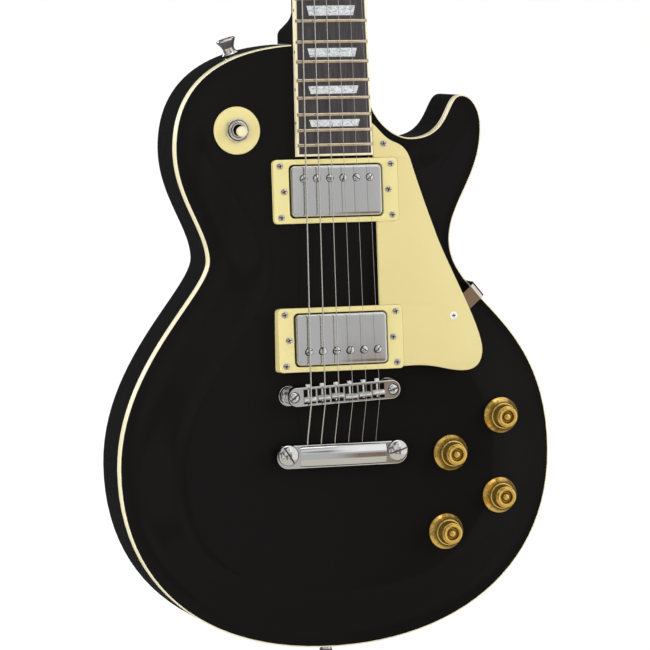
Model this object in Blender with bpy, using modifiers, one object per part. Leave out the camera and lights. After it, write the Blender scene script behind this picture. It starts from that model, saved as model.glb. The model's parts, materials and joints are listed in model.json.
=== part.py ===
"""Solid-body electric guitar with a carved top, built piece by piece.

Metres, +Z up. The guitar stands upright with its face towards -Y and its cutaway towards +X. The origin is
the centre of the flat outer face of the strap button at the lowest point of the body. Local frames carry the
pieces. In each of them x runs across the guitar, y runs up it and z points out of its face.
"""

from math import acos, atan2, cos, pi, radians, sin, tan

import bmesh
import bpy
import numpy as np
from mathutils import Matrix, Vector
from mathutils.geometry import interpolate_bezier, intersect_line_line_2d

MM = 0.001
GAP = 0.3 * MM  # left between pieces that touch
RUNNING_CLEARANCE = 0.5 * MM  # round what turns or slides in a bore
CUT_PAST = 1.0 * MM  # how far a cutter reaches past what it cuts
CLOSE = 1e-6  # within this, two places are the same

# Scale and neck
SCALE_LENGTH = 628.65 * MM
FRET_COUNT = 22
NECK_ANGLE = 4.0
HEAD_ANGLE = 14.0
NUT_WIDTH = 43.0 * MM
BOARD_END_WIDTH = 56.9 * MM
BOARD_PAST_LAST_FRET = 7.8 * MM
BOARD_THICKNESS = 6.0 * MM
BOARD_RADIUS = 305.0 * MM
FRET_HEIGHT = 1.1 * MM
FRET_BASE = 2.4 * MM
FRET_CROWN = 1.2 * MM
CROWN_SHARES = (1, 0.4, -0.4, -1)
NUT_LENGTH = 5.0 * MM
NUT_HEIGHT = 2.4 * MM
NECK_DEPTH_AT_NUT = 14.5 * MM
NECK_DEPTH_AT_HEEL = 17.5 * MM
HEEL_DEPTH = 44.0 * MM
HEEL_LENGTH = 24.0 * MM
SHAFT_POWER = 0.9  # of the cross section's sines: 1 is round, and near 0 is square
HEEL_POWER = 0.15
HEAD_POWER = 0.1
TENON_WIDTH = 38.0 * MM
TENON_DEPTH = 30.0 * MM
TENON_WALL = 11.0 * MM

# Body
BODY_BOTTOM = 12.0 * MM
BODY_THICKNESS = 50.0 * MM
JOIN_HEIGHT = 445.0 * MM
BRIDGE_BELOW = 247.0 * MM
NECK_BLOCK_HALF = 28.5 * MM
CARVE_RISE = 10.0 * MM
CARVE_MARGIN = 5.0 * MM
CARVE_REACH = 41.0 * MM
CARVE_GRID = 18.0 * MM
BINDING_DEPTH = 6.5 * MM
BINDING_THICKNESS = 1.5 * MM
BACK_ROUND = 6.0 * MM
ROUND_SEGMENTS = 2
CURVE_STEPS = 9

# Body outline: where it turns, and how far each curve's handles reach. A name with BELOW is below the join.
BOTTOM_REACH = 95.0 * MM
LOWER_BOUT_HALF = 162.0 * MM
LOWER_BOUT_SHIFT = 3.0 * MM  # towards the treble side
LOWER_BOUT_HEIGHT = 147.0 * MM
LOWER_BOUT_DROP = 86.0 * MM
BASS_BOUT_RISE = 74.0 * MM
BASS_WAIST_HALF = 91.7 * MM
BASS_WAIST_BELOW = 152.0 * MM
BASS_WAIST_REACH = 22.0 * MM
BASS_UPPER_HALF = 115.0 * MM
BASS_UPPER_BELOW = 73.0 * MM
BASS_UPPER_DROP = 34.0 * MM
BASS_UPPER_RISE = 44.0 * MM
SHOULDER_REACH = 57.0 * MM
SHOULDER_DROP = 3.5 * MM
TREBLE_BOUT_RISE = 100.0 * MM
TREBLE_WAIST_HALF = 89.5 * MM
TREBLE_WAIST_BELOW = 142.0 * MM
TREBLE_WAIST_DROP = 44.0 * MM
TREBLE_WAIST_RISE = 27.0 * MM
HORN_SIDE = 114.3 * MM
HORN_SIDE_BELOW = 61.0 * MM
HORN_SIDE_DROP = 36.0 * MM
HORN_SIDE_RISE = 13.5 * MM
HORN_TIP = 99.3 * MM
HORN_TIP_BELOW = 37.6 * MM
HORN_TIP_REACH = 8.3 * MM
HORN_INNER_REACH = 12.0 * MM
CUTAWAY_FLOOR = 61.5 * MM
CUTAWAY_BELOW = 67.8 * MM
CUTAWAY_HORN_REACH = 30.0 * MM
CUTAWAY_NECK_REACH = 18.0 * MM
CUTAWAY_END_BELOW = 33.0 * MM
CUTAWAY_END_DROP = 15.0 * MM

# Strings, from the treble side to the bass side
STRING_RADII = [0.127 * MM, 0.165 * MM, 0.216 * MM, 0.33 * MM, 0.457 * MM, 0.584 * MM]
STRING_SPREAD_AT_NUT = 36.0 * MM
STRING_SPREAD_AT_BRIDGE = 51.4 * MM
STRING_CLEARANCE = 0.35 * MM
NUT_SLOT_FLOOR = 1.0 * MM
BALL_RADIUS = 1.9 * MM
BALL_LENGTH = 3.6 * MM
BALL_TAPER = 0.4 * MM
WRAPS = 2
WRAP_STEPS = 8
WRAP_START = 7.0 * MM
WRAP_GAP = 0.15 * MM

# Bridge
BRIDGE_END = 5.5 * MM
BRIDGE_WIDTH = 13.6 * MM
BRIDGE_DEPTH = 8.0 * MM
BRIDGE_SLANT = 2.25
BRIDGE_OFFSET = -0.25 * MM
TROUGH_WIDTH = 10.4 * MM
TROUGH_MARGIN = 3.1 * MM
TROUGH_END_WALL = 0.5 * MM
TROUGH_DEPTH = 5.6 * MM
SADDLE_ABOVE_BOARD = 3.7 * MM
SADDLE_RISE = 3.0 * MM
SADDLE_LENGTH = 3.6 * MM
SADDLE_WIDTH = 8.4 * MM
SADDLE_RIDGE = 1.0 * MM
SADDLE_OFFSETS = [-1.3 * MM, -1.9 * MM, -2.4 * MM, -1.1 * MM, -1.7 * MM, -2.2 * MM]
POST_THREAD_RADIUS = 4.0 * MM
POST_STUD_RADIUS = 3.0 * MM
POST_TIP = 0.6 * MM
POST_SINK = 23.0 * MM
WHEEL_RADIUS = 6.5 * MM
WHEEL_THICKNESS = 2.5 * MM
POST_SLOT_WIDTH = 1.2 * MM
POST_SLOT_DEPTH = 1.2 * MM
BRIDGE_TRAVEL = 2.5 * MM

# Tailpiece
TAIL_BELOW_BRIDGE = 43.0 * MM
TAIL_BAR_MARGIN = 6.3 * MM
TAIL_EAR_REACH = 8.5 * MM
TAIL_WIDTH = 18.0 * MM
TAIL_DROP = 2.4 * MM
TAIL_THICKNESS = 9.5 * MM
TAIL_EAR_THICKNESS = 6.1 * MM
TAIL_HUMP_ROOT = 1.0 * MM
TAIL_HUMP_STEP = 0.5 * MM
TAIL_HUMP_STEPS = 6
TAIL_END_TAPER = 5.0 * MM
TAIL_END_SHARE = 0.7
STRING_HOLE_RISE = 3.7 * MM
STRING_HOLE_RADIUS = 1.2 * MM
BALL_SEAT_DEPTH = 5.0 * MM
STUD_THREAD_RADIUS = 4.0 * MM
STUD_NECK_RADIUS = 3.7 * MM
STUD_FLANGE_RADIUS = 7.0 * MM
STUD_FLANGE_THICKNESS = 1.5 * MM
STUD_HEAD_RADIUS = 8.4 * MM
STUD_HEAD_ROOM = 0.6 * MM
STUD_HEAD_HEIGHT = 4.0 * MM
STUD_DOME = 2.6 * MM
STUD_DOME_STEPS = 3
STUD_SINK = 25.0 * MM
STUD_SLOT_WIDTH = 1.8 * MM
STUD_SLOT_DEPTH = 1.8 * MM
TAIL_TRAVEL = 2.0 * MM

# Pickups
RING_LENGTH = 93.0 * MM
RING_WIDTH = 45.4 * MM
RING_ROUND = 3.0 * MM
RING_TOP = -1.5 * MM
COVER_LENGTH = 69.0 * MM
COVER_WIDTH = 37.0 * MM
COVER_DEPTH = 13.0 * MM
COVER_WALL = 0.8 * MM
COVER_ROUND = 3.0 * MM
NECK_PICKUP_GAP = 1.9 * MM
NECK_COVER_TOP = -0.2 * MM
NECK_POLE_PITCH = 9.9 * MM
NECK_POLE_SIDE = 9.0 * MM
BRIDGE_PICKUP_ABOVE = 38.7 * MM
BRIDGE_COVER_TOP = 0.3 * MM
BRIDGE_POLE_PITCH = 10.3 * MM
BRIDGE_POLE_SIDE = -9.0 * MM
POLE_RADIUS = 2.4 * MM
POLE_RISE = 0.6 * MM
POLE_STEPS = 8
CORE_STEP = 2.0 * MM
POLE_SINK = 3.0 * MM
ROUT_CLEARANCE = 1.5 * MM
ROUT_DEPTH = 27.0 * MM
EAR_HALF = 40.5 * MM
EAR_WIDTH = 12.0 * MM
BASEPLATE_THICKNESS = 1.4 * MM

# Pickguard and its bracket
GUARD_THICKNESS = 2.5 * MM
GUARD_TOP = -1.5 * MM
GUARD_INNER_EDGE = 27.5 * MM
GUARD_LOW_STEP = 1.5 * MM
GUARD_TIP_ABOVE = 24.5 * MM
GUARD_SCREW_ACROSS = 85.3 * MM
GUARD_SCREW_ABOVE = 13.2 * MM
GUARD_STEPS = 7

# Pickguard's free edge. Each turn has its place across and up, from the bridge pickup's lower edge or the
# neck pickup's upper edge, and the handles that leave it and arrive at it.
GUARD_START_LEAVE = (24 * MM, 1.5 * MM)
GUARD_LOW_TURNS = [
    ((91.6 * MM, -3.4 * MM), (10 * MM, 0), (-14 * MM, 0.5 * MM)),
    ((106.5 * MM, 10.8 * MM), (1 * MM, 16 * MM), (-0.5 * MM, -9 * MM)),
]
GUARD_HIGH_TURNS = [
    ((73.1 * MM, -52.6 * MM), (-8 * MM, 22 * MM), (6 * MM, -20 * MM)),
    ((56.3 * MM, -1.7 * MM), (-3 * MM, 9 * MM), (2.6 * MM, -9 * MM)),
    ((43.7 * MM, 11.1 * MM), (-6 * MM, 2.2 * MM), (5 * MM, -2 * MM)),
]
GUARD_TIP_ARRIVE = (4 * MM, -3.2 * MM)
BRACKET_WIDTH = 12.0 * MM
BRACKET_THICKNESS = 1.2 * MM
BRACKET_ANGLE = 40.0
BRACKET_DROP = 30.0 * MM
BRACKET_TAIL = 8.0 * MM
BRACKET_BEND = 1.5 * MM

# Controls: two volumes and two tones, so far in from the lower bout's edge and above its widest place
KNOB_OFFSETS = {
    "neck_volume": (77.5 * MM, 3.0 * MM),
    "bridge_volume": (38.5 * MM, 28.5 * MM),
    "neck_tone": (81.5 * MM, -54.0 * MM),
    "bridge_tone": (40.0 * MM, -29.7 * MM),
}
KNOB_ABOVE_TOP = 1.0 * MM
KNOB_HEIGHT = 16.0 * MM
KNOB_RADIUS = 13.0 * MM
KNOB_SHOULDER_RADIUS = 10.2 * MM
KNOB_SHOULDER_HEIGHT = 6.0 * MM
KNOB_CAP_RADIUS = 8.8 * MM
KNOB_EDGE = 0.8 * MM
KNOB_RIM = 1.4 * MM
KNOB_RECESS_DEPTH = 2.4 * MM
KNOB_RECESS_CLEARANCE = 1.6 * MM
KNOB_STEPS = 16
SHAFT_RADIUS = 3.0 * MM
SHAFT_END = 3.0 * MM
BUSHING_RADIUS = 4.6 * MM
BUSHING_RISE = 1.6 * MM
POT_RADIUS = 12.0 * MM
POT_DEPTH = 9.0 * MM
PLATE_THICKNESS = 1.5 * MM
PLATE_CLEARANCE = 1.0 * MM
CONTROL_ROOF = 23.0 * MM
CAVITY_ROUND = 14.0 * MM
CAVITY_MARGIN = 4.0 * MM
CAVITY_CHAMFER = 32.0 * MM
COVER_PLATE_THICKNESS = 2.2 * MM
COVER_LEDGE = 6.0 * MM
COVER_STEPS = 24

# Pickup selector, with levels measured from the face
SWITCH_ACROSS = 71.1 * MM
SWITCH_BELOW = 59.3 * MM
SWITCH_RING_RADIUS = 17.3 * MM
SWITCH_RING_THICKNESS = 1.8 * MM
SWITCH_BUSHING_RADIUS = 5.8 * MM
SWITCH_BORE_RADIUS = 4.5 * MM
SWITCH_NUT_RADIUS = 8.2 * MM
SWITCH_NUT_THICKNESS = 2.2 * MM
SWITCH_BUSHING_RISE = 0.9 * MM
SWITCH_CAN_RADIUS = 9.0 * MM
SWITCH_CAN_WALL = 1.5 * MM
SWITCH_CAN_TOP = -12.2 * MM
SWITCH_CAN_BOTTOM = -37.0 * MM
SWITCH_PIVOT = -4.2 * MM
LEVER_RADIUS = 1.6 * MM
LEVER_END = -22.7 * MM
LEVER_TIP_RADIUS = 4.2 * MM
LEVER_TIP_BASE = 7.5 * MM
LEVER_TOP = 17.5 * MM
LEVER_TIP_ROUND = 3.0 * MM
LEVER_TIP_TAPER = 4.0 * MM
LEVER_TIP_NECK = 2.2 * MM
SWITCH_CAVITY_RADIUS = 22.0 * MM

# Output jack
JACK_PLATE_SIZE = 34.0 * MM
JACK_PLATE_THICKNESS = 1.6 * MM
JACK_PLATE_ROUND = 4.0 * MM
JACK_SLEEVE_RADIUS = 5.0 * MM
JACK_SLEEVE_RISE = 1.5 * MM
JACK_BORE_RADIUS = 3.35 * MM
JACK_LENGTH = 27.0 * MM
JACK_HOLE_RADIUS = 11.0 * MM

# Strap buttons
BUTTON_HEAD_RADIUS = 7.4 * MM
BUTTON_FACE_RADIUS = 5.2 * MM
BUTTON_WAIST_RADIUS = 4.2 * MM
BUTTON_BASE_RADIUS = 6.4 * MM
BUTTON_HEAD_EDGE = 1.2 * MM
BUTTON_HEAD_SLOPE = 2.6 * MM
BUTTON_FOOT = 2.0 * MM
BUTTON_SHANK_RADIUS = 1.8 * MM
BUTTON_SHANK_LENGTH = 18.0 * MM
UPPER_BUTTON_ACROSS = 68.0 * MM

# Headstock and tuners
HEAD_LENGTH = 179.0 * MM
HEAD_THICKNESS = 15.0 * MM
HEAD_WAIST_HALF = 36.0 * MM
HEAD_TOP_HALF = 42.5 * MM
HEAD_FLARE_START = 5.0 * MM
HEAD_FLARE_END = 38.0 * MM
HEAD_TIP_BOW = 16.0 * MM
HEAD_TIP_CORNER = 16.0 * MM
VOLUTE_LENGTH = 3.0 * MM
TUNER_SPACING = 42.0 * MM
FIRST_TUNER = 40.0 * MM
TUNER_ACROSS = 24.0 * MM
TUNER_SPLAY = 2.0 * MM
POST_RADIUS = 3.1 * MM
POST_RISE = 17.0 * MM
POST_EDGE = 0.6 * MM
TUNER_HOLE_CLEARANCE = 0.7 * MM
TUNER_PLATE_WIDTH = 18.0 * MM
TUNER_PLATE_MARGIN = 4.0 * MM
TUNER_PLATE_THICKNESS = 1.4 * MM
TUNER_PLATE_ROUND = 2.0 * MM
GEAR_RADIUS = 6.2 * MM
GEAR_THICKNESS = 4.0 * MM
WORM_RADIUS = 2.6 * MM
WORM_SHAFT_RADIUS = 1.5 * MM
WORM_GEAR_GAP = 0.6 * MM
LUG_THICKNESS = 2.1 * MM
LUG_WIDTH = 6.4 * MM
LUG_INSET = 0.1 * MM
TUNER_BUTTON_GAP = 5.0 * MM
TUNER_BUTTON_LENGTH = 17.0 * MM
TUNER_BUTTON_RADIUS = 9.0 * MM
TUNER_BUTTON_NECK = 3.2 * MM
TUNER_BUTTON_ROOT = 3.0 * MM
TUNER_BUTTON_FLATNESS = 0.45

# Truss rod
ROD_RADIUS = 3.0 * MM
ROD_DEPTH = 8.0 * MM
ROD_NUT_RADIUS = 4.0 * MM
ROD_NUT_LENGTH = 13.0 * MM
ROD_POCKET_ROOM = 2.5 * MM
ROD_POCKET_LENGTH = 24.0 * MM

# What follows from the sizes above
STRING_COUNT = len(STRING_RADII)
TUNERS_A_SIDE = STRING_COUNT // 2
BOARD_LENGTH = SCALE_LENGTH * (1 - 2 ** (-FRET_COUNT / 12)) + BOARD_PAST_LAST_FRET
HALF_THICKNESS = BODY_THICKNESS / 2
SEAM = HALF_THICKNESS - BINDING_DEPTH
CARVED_TOP = HALF_THICKNESS + CARVE_RISE
PITCH = radians(NECK_ANGLE)
BOARD_UNDERSIDE = -BOARD_THICKNESS
NECK_TOP = BOARD_UNDERSIDE - GAP
BRIDGE_LINE = JOIN_HEIGHT - BRIDGE_BELOW
TAIL_LINE = BRIDGE_LINE - TAIL_BELOW_BRIDGE
TREBLE_WAIST = JOIN_HEIGHT - TREBLE_WAIST_BELOW
SWITCH_PLACE = (-SWITCH_ACROSS, JOIN_HEIGHT - SWITCH_BELOW)
KNOB_PLACES = {
    name: (LOWER_BOUT_HALF - inset, LOWER_BOUT_HEIGHT + rise) for name, (inset, rise) in KNOB_OFFSETS.items()
}
KNOB_BASE = CARVED_TOP + KNOB_ABOVE_TOP
CONTROL_CEILING = CARVED_TOP - CONTROL_ROOF
ROD_LEVEL = NECK_TOP - ROD_DEPTH
TUNER_HOLE_RADIUS = POST_RADIUS + TUNER_HOLE_CLEARANCE
WORM_OFFSET = GEAR_RADIUS + WORM_RADIUS + WORM_GEAR_GAP
WORM_MIDDLE = TUNER_ACROSS + TUNER_SPLAY * (TUNERS_A_SIDE - 1) / 2
KNOB_RECESS_RADIUS = BUSHING_RADIUS + KNOB_RECESS_CLEARANCE
BUSHING_TOP = KNOB_BASE + BUSHING_RISE
BOARD_END = BRIDGE_LINE + (SCALE_LENGTH - BOARD_LENGTH) * cos(PITCH)
NECK_PICKUP_HEIGHT = BOARD_END - NECK_PICKUP_GAP - RING_WIDTH / 2
BRIDGE_PICKUP_HEIGHT = BRIDGE_LINE + BRIDGE_PICKUP_ABOVE
TENON_LENGTH = JOIN_HEIGHT - NECK_PICKUP_HEIGHT - COVER_WIDTH / 2 - ROUT_CLEARANCE - TENON_WALL
BRIDGE_BORE_RADIUS = POST_STUD_RADIUS + RUNNING_CLEARANCE
TROUGH_LENGTH = STRING_SPREAD_AT_BRIDGE + SADDLE_WIDTH + 2 * TROUGH_MARGIN
BRIDGE_POST_SPACING = TROUGH_LENGTH + 2 * (TROUGH_END_WALL + BRIDGE_BORE_RADIUS)
BRIDGE_LENGTH = BRIDGE_POST_SPACING + 2 * BRIDGE_END
TAIL_BAR_LENGTH = STRING_SPREAD_AT_BRIDGE + 2 * TAIL_BAR_MARGIN
TAIL_STUD_SPACING = TAIL_BAR_LENGTH + 2 * (STUD_HEAD_RADIUS + STUD_HEAD_ROOM)
TAIL_LENGTH = TAIL_STUD_SPACING + 2 * TAIL_EAR_REACH


def upright(tilt, at):
    """A frame whose y runs up the guitar, tilted back from upright, and whose z points out of the face."""
    return Matrix.Translation(at) @ Matrix.Rotation(pi / 2 - tilt, 4, "X")


def raised(y, x=0.0, z=0.0):
    """A place in a frame: so far up it, across it and out of it."""
    return Matrix.Translation((x, y, z))


def neck_matrix():
    """The fretboard's own frame: its origin is on the centre line at the nut, at the top of the fretboard."""
    up, out = Vector((0, sin(PITCH), cos(PITCH))), Vector((0, -cos(PITCH), sin(PITCH)))
    on_board = Vector((0, -HALF_THICKNESS, JOIN_HEIGHT)) - out * NECK_TOP
    at_bridge = on_board + up * (BRIDGE_LINE - on_board.z) / up.z
    return upright(PITCH, at_bridge + up * SCALE_LENGTH)


BODY = upright(0, Vector())
NECK = neck_matrix()
HEAD = upright(PITCH + radians(HEAD_ANGLE), NECK @ Vector((0, NUT_LENGTH, NECK_TOP)))
BRIDGE = BODY @ raised(BRIDGE_LINE + BRIDGE_OFFSET) @ Matrix.Rotation(radians(BRIDGE_SLANT), 4, "Z")
BOARD_AT_BRIDGE = (BODY.inverted() @ NECK @ Vector((0, -SCALE_LENGTH, 0))).z
SADDLE_TOP = BOARD_AT_BRIDGE + SADDLE_ABOVE_BOARD
BRIDGE_BASE = SADDLE_TOP - SADDLE_RISE - BRIDGE_DEPTH
POST_TOP = BRIDGE_BASE + BRIDGE_DEPTH + POST_TIP
POST_BOTTOM = CARVED_TOP - POST_SINK
TAIL_BASE = BRIDGE_BASE - TAIL_DROP
TAIL_EAR_TOP = TAIL_BASE + TAIL_EAR_THICKNESS
TAIL_TOP = TAIL_BASE + TAIL_THICKNESS
STRING_HOLE_LEVEL = TAIL_BASE + STRING_HOLE_RISE
STUD_BOTTOM = CARVED_TOP - STUD_SINK


def along_neck(height):
    """The fretboard frame's y at a height above the origin, which is negative below the nut."""
    return (height - NECK.translation.z) / cos(PITCH)


# ---------------------------------------------------------------- scene, materials and modelling helpers


def clear_scene():
    for thing in list(bpy.data.objects):
        bpy.data.objects.remove(thing)


def new_collection(name):
    made = bpy.data.collections.new(name)
    bpy.context.scene.collection.children.link(made)
    return made


def material(name, colour, metallic, roughness):
    made = bpy.data.materials.new(name)
    made.use_nodes = True
    shader = made.node_tree.nodes["Principled BSDF"]
    shader.inputs["Base Color"].default_value = (*colour, 1)
    shader.inputs["Metallic"].default_value = metallic
    shader.inputs["Roughness"].default_value = roughness
    return made


clear_scene()
PARTS = new_collection("electric_guitar")
CUTTERS = new_collection("cutters")

FINISHES = {
    "black_gloss": ((0.012, 0.011, 0.011), 0, 0.12),
    "maple_black": ((0.012, 0.011, 0.011), 0, 0.1),
    "binding_cream": ((0.86, 0.77, 0.5), 0, 0.35),
    "rosewood": ((0.045, 0.024, 0.018), 0, 0.55),
    "bone": ((0.85, 0.8, 0.66), 0, 0.4),
    "cream_plastic": ((0.8, 0.71, 0.33), 0, 0.3),
    "black_plastic": ((0.02, 0.02, 0.02), 0, 0.4),
    "chrome": ((0.8, 0.8, 0.81), 1, 0.08),
    "nickel": ((0.7, 0.68, 0.64), 1, 0.2),
    "steel": ((0.56, 0.57, 0.58), 1, 0.3),
    "gold_knob": ((0.55, 0.38, 0.1), 0.3, 0.2),
    "bobbin": ((0.03, 0.03, 0.03), 0, 0.5),
}
USED = {}


def finish(thing, slot):
    """Gives a piece a material of its own."""
    USED[slot] = USED.get(slot, 0) + 1
    thing.data.materials.clear()
    thing.data.materials.append(material(f"{slot}_{USED[slot]}", *FINISHES[slot]))
    return thing


def mesh_object(name, bm, frame, slot=None):
    """A mesh object from a bmesh. With no slot it is a cutter or a shape to be joined."""
    mesh = bpy.data.meshes.new(name)
    bm.to_mesh(mesh)
    bm.free()
    thing = bpy.data.objects.new(name, mesh)
    thing.matrix_world = frame
    if slot:
        PARTS.objects.link(thing)
        finish(thing, slot)
    else:
        CUTTERS.objects.link(thing)
        thing.hide_render = True
        thing.display_type = "WIRE"
    return thing


def flattened(thing):
    """A bmesh of a curve object as it is evaluated, with its loose caps welded. The curve is removed."""
    bpy.context.view_layer.update()
    shape = thing.evaluated_get(bpy.context.evaluated_depsgraph_get())
    mesh = bpy.data.meshes.new_from_object(shape)
    bm = bmesh.new()
    bm.from_mesh(mesh)
    bmesh.ops.remove_doubles(bm, verts=bm.verts, dist=CLOSE / 10)
    bmesh.ops.recalc_face_normals(bm, faces=bm.faces)
    bpy.data.objects.remove(thing)
    bpy.data.meshes.remove(mesh)
    return bm


def flat_shape(loops, low, high):
    """A bmesh of a flat outline with holes, from z = low to z = high. The first loop is the outside."""
    data = bpy.data.curves.new("outline", "CURVE")
    data.dimensions = "2D"
    data.fill_mode = "BOTH"
    data.extrude = (high - low) / 2
    for loop in loops:
        spline = data.splines.new("POLY")
        spline.points.add(len(loop) - 1)
        for point, (x, y) in zip(spline.points, loop):
            point.co = (x, y, 0, 1)
        spline.use_cyclic_u = True
    curve = bpy.data.objects.new("outline", data)
    PARTS.objects.link(curve)
    bm = flattened(curve)
    bpy.data.curves.remove(data)
    bmesh.ops.translate(bm, verts=bm.verts, vec=(0, 0, (high + low) / 2))
    return bm


def slab(name, loops, low, high, frame, slot=None):
    return mesh_object(name, flat_shape(loops, low, high), frame, slot)


def box_shape(bm, low, high):
    size = [b - a for a, b in zip(low, high)]
    middle = [(a + b) / 2 for a, b in zip(low, high)]
    matrix = Matrix.Translation(middle) @ Matrix.Diagonal((*size, 1))
    bmesh.ops.create_cube(bm, size=1, matrix=matrix)


def box(name, low, high, frame, slot=None):
    bm = bmesh.new()
    box_shape(bm, low, high)
    return mesh_object(name, bm, frame, slot)


def circle(radius, steps, x=0.0, y=0.0):
    turns = [2 * pi * (k + 0.5) / steps for k in range(steps)]
    return [(x + radius * cos(t), y + radius * sin(t)) for t in turns]


def rounded(corners, radius, steps=4):
    """A polygon with each corner replaced by an arc."""
    points = []
    for k, corner in enumerate(corners):
        here = Vector(corner)
        back = (Vector(corners[k - 1]) - here).normalized()
        on = (Vector(corners[(k + 1) % len(corners)]) - here).normalized()
        half = acos(max(-1.0, min(1.0, back.dot(on)))) / 2
        reach, middle = radius / tan(half), here + (back + on).normalized() * radius / sin(half)
        start, end = here + back * reach - middle, here + on * reach - middle
        first = atan2(start.y, start.x)
        turn = (atan2(end.y, end.x) - first + pi) % (2 * pi) - pi
        for step in range(steps + 1):
            angle = first + turn * step / steps
            point = Vector((middle.x + radius * cos(angle), middle.y + radius * sin(angle)))
            if not points or (point - points[-1]).length > CLOSE:
                points.append(point)
    if (points[0] - points[-1]).length < CLOSE:
        points.pop()
    return points


def rectangle(half_x, half_y, radius, x=0.0, y=0.0, steps=4):
    corners = [(-half_x, -half_y), (half_x, -half_y), (half_x, half_y), (-half_x, half_y)]
    return rounded([(x + a, y + b) for a, b in corners], radius, steps)


def turned_shape(bm, profile, steps, at=(0, 0, 0), turn=None):
    """Adds a turned solid to a bmesh. The profile's points are (radius, z), from its top to its bottom."""
    shape = bmesh.new()
    verts = [shape.verts.new((radius, 0, z)) for radius, z in profile]
    edges = [shape.edges.new(pair) for pair in zip(verts, verts[1:])]
    bmesh.ops.spin(shape, geom=verts + edges, axis=(0, 0, 1), angle=2 * pi, steps=steps, use_merge=True)
    bmesh.ops.remove_doubles(shape, verts=shape.verts, dist=CLOSE)
    bmesh.ops.recalc_face_normals(shape, faces=shape.faces)
    half_step = Matrix.Rotation(pi / steps, 4, "Z")
    shape.transform(Matrix.Translation(at) @ (turn or Matrix()) @ half_step)
    mesh = bpy.data.meshes.new("turned")
    shape.to_mesh(mesh)
    shape.free()
    bm.from_mesh(mesh)
    bpy.data.meshes.remove(mesh)


def turned(name, profile, steps, frame, slot=None):
    """A turned solid about the frame's z axis: a profile with a Screw modifier."""
    bm = bmesh.new()
    verts = [bm.verts.new((radius, 0, z)) for radius, z in profile]
    for a, b in zip(verts, verts[1:]):
        bm.edges.new((a, b))
    if profile[0][0] > 0:
        bm.edges.new((verts[-1], verts[0]))
    thing = mesh_object(name, bm, frame, slot)
    screw = thing.modifiers.new("turn", "SCREW")
    screw.steps = screw.render_steps = steps
    screw.use_merge_vertices = True
    screw.merge_threshold = CLOSE
    screw.use_smooth_shade = True
    return thing


def dome(radius, top, drop, steps):
    """A profile from the middle of a rounded top down to its rim, which lies a drop below."""
    angles = [pi / 2 * k / steps for k in range(steps + 1)]
    return [(radius * sin(angle), top - drop * (1 - cos(angle))) for angle in angles]


def drills(name, holes, low, high, frame, steps=16):
    """One cutter of several round holes, each (x, y, radius), from z = low to z = high."""
    bm = bmesh.new()
    for x, y, radius in holes:
        at = Matrix.Translation((x, y, (low + high) / 2)) @ Matrix.Rotation(pi / steps, 4, "Z")
        bmesh.ops.create_cone(
            bm, cap_ends=True, segments=steps, radius1=radius, radius2=radius, depth=high - low, matrix=at
        )
    return mesh_object(name, bm, frame)


def combine(thing, other, operation):
    joint = thing.modifiers.new(other.name, "BOOLEAN")
    joint.object = other
    joint.operation = operation
    joint.solver = "EXACT"


def cut(thing, *cutters):
    for cutter in cutters:
        combine(thing, cutter, "DIFFERENCE")


def join(thing, *others):
    for other in others:
        combine(thing, other, "UNION")


def loft_shape(sections):
    """A closed bmesh through sections, each a ring of as many points, anticlockwise from the last one."""
    bm = bmesh.new()
    rings = [[bm.verts.new(point) for point in section] for section in sections]
    for low, high in zip(rings, rings[1:]):
        for k in range(len(low)):
            j = (k + 1) % len(low)
            bm.faces.new((low[k], low[j], high[j], high[k]))
    bm.faces.new(rings[0][::-1])
    bm.faces.new(rings[-1])
    bmesh.ops.recalc_face_normals(bm, faces=bm.faces)
    bmesh.ops.triangulate(bm, faces=bm.faces)
    return bm


def smooth(t):
    t = min(1.0, max(0.0, t))
    return t * t * (3 - 2 * t)


def between(table, at):
    """Reads a table of (place, value) with straight lines between its rows."""
    places, values = zip(*table)
    return float(np.interp(at, places, values))


# ---------------------------------------------------------------- body outline and carve


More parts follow.
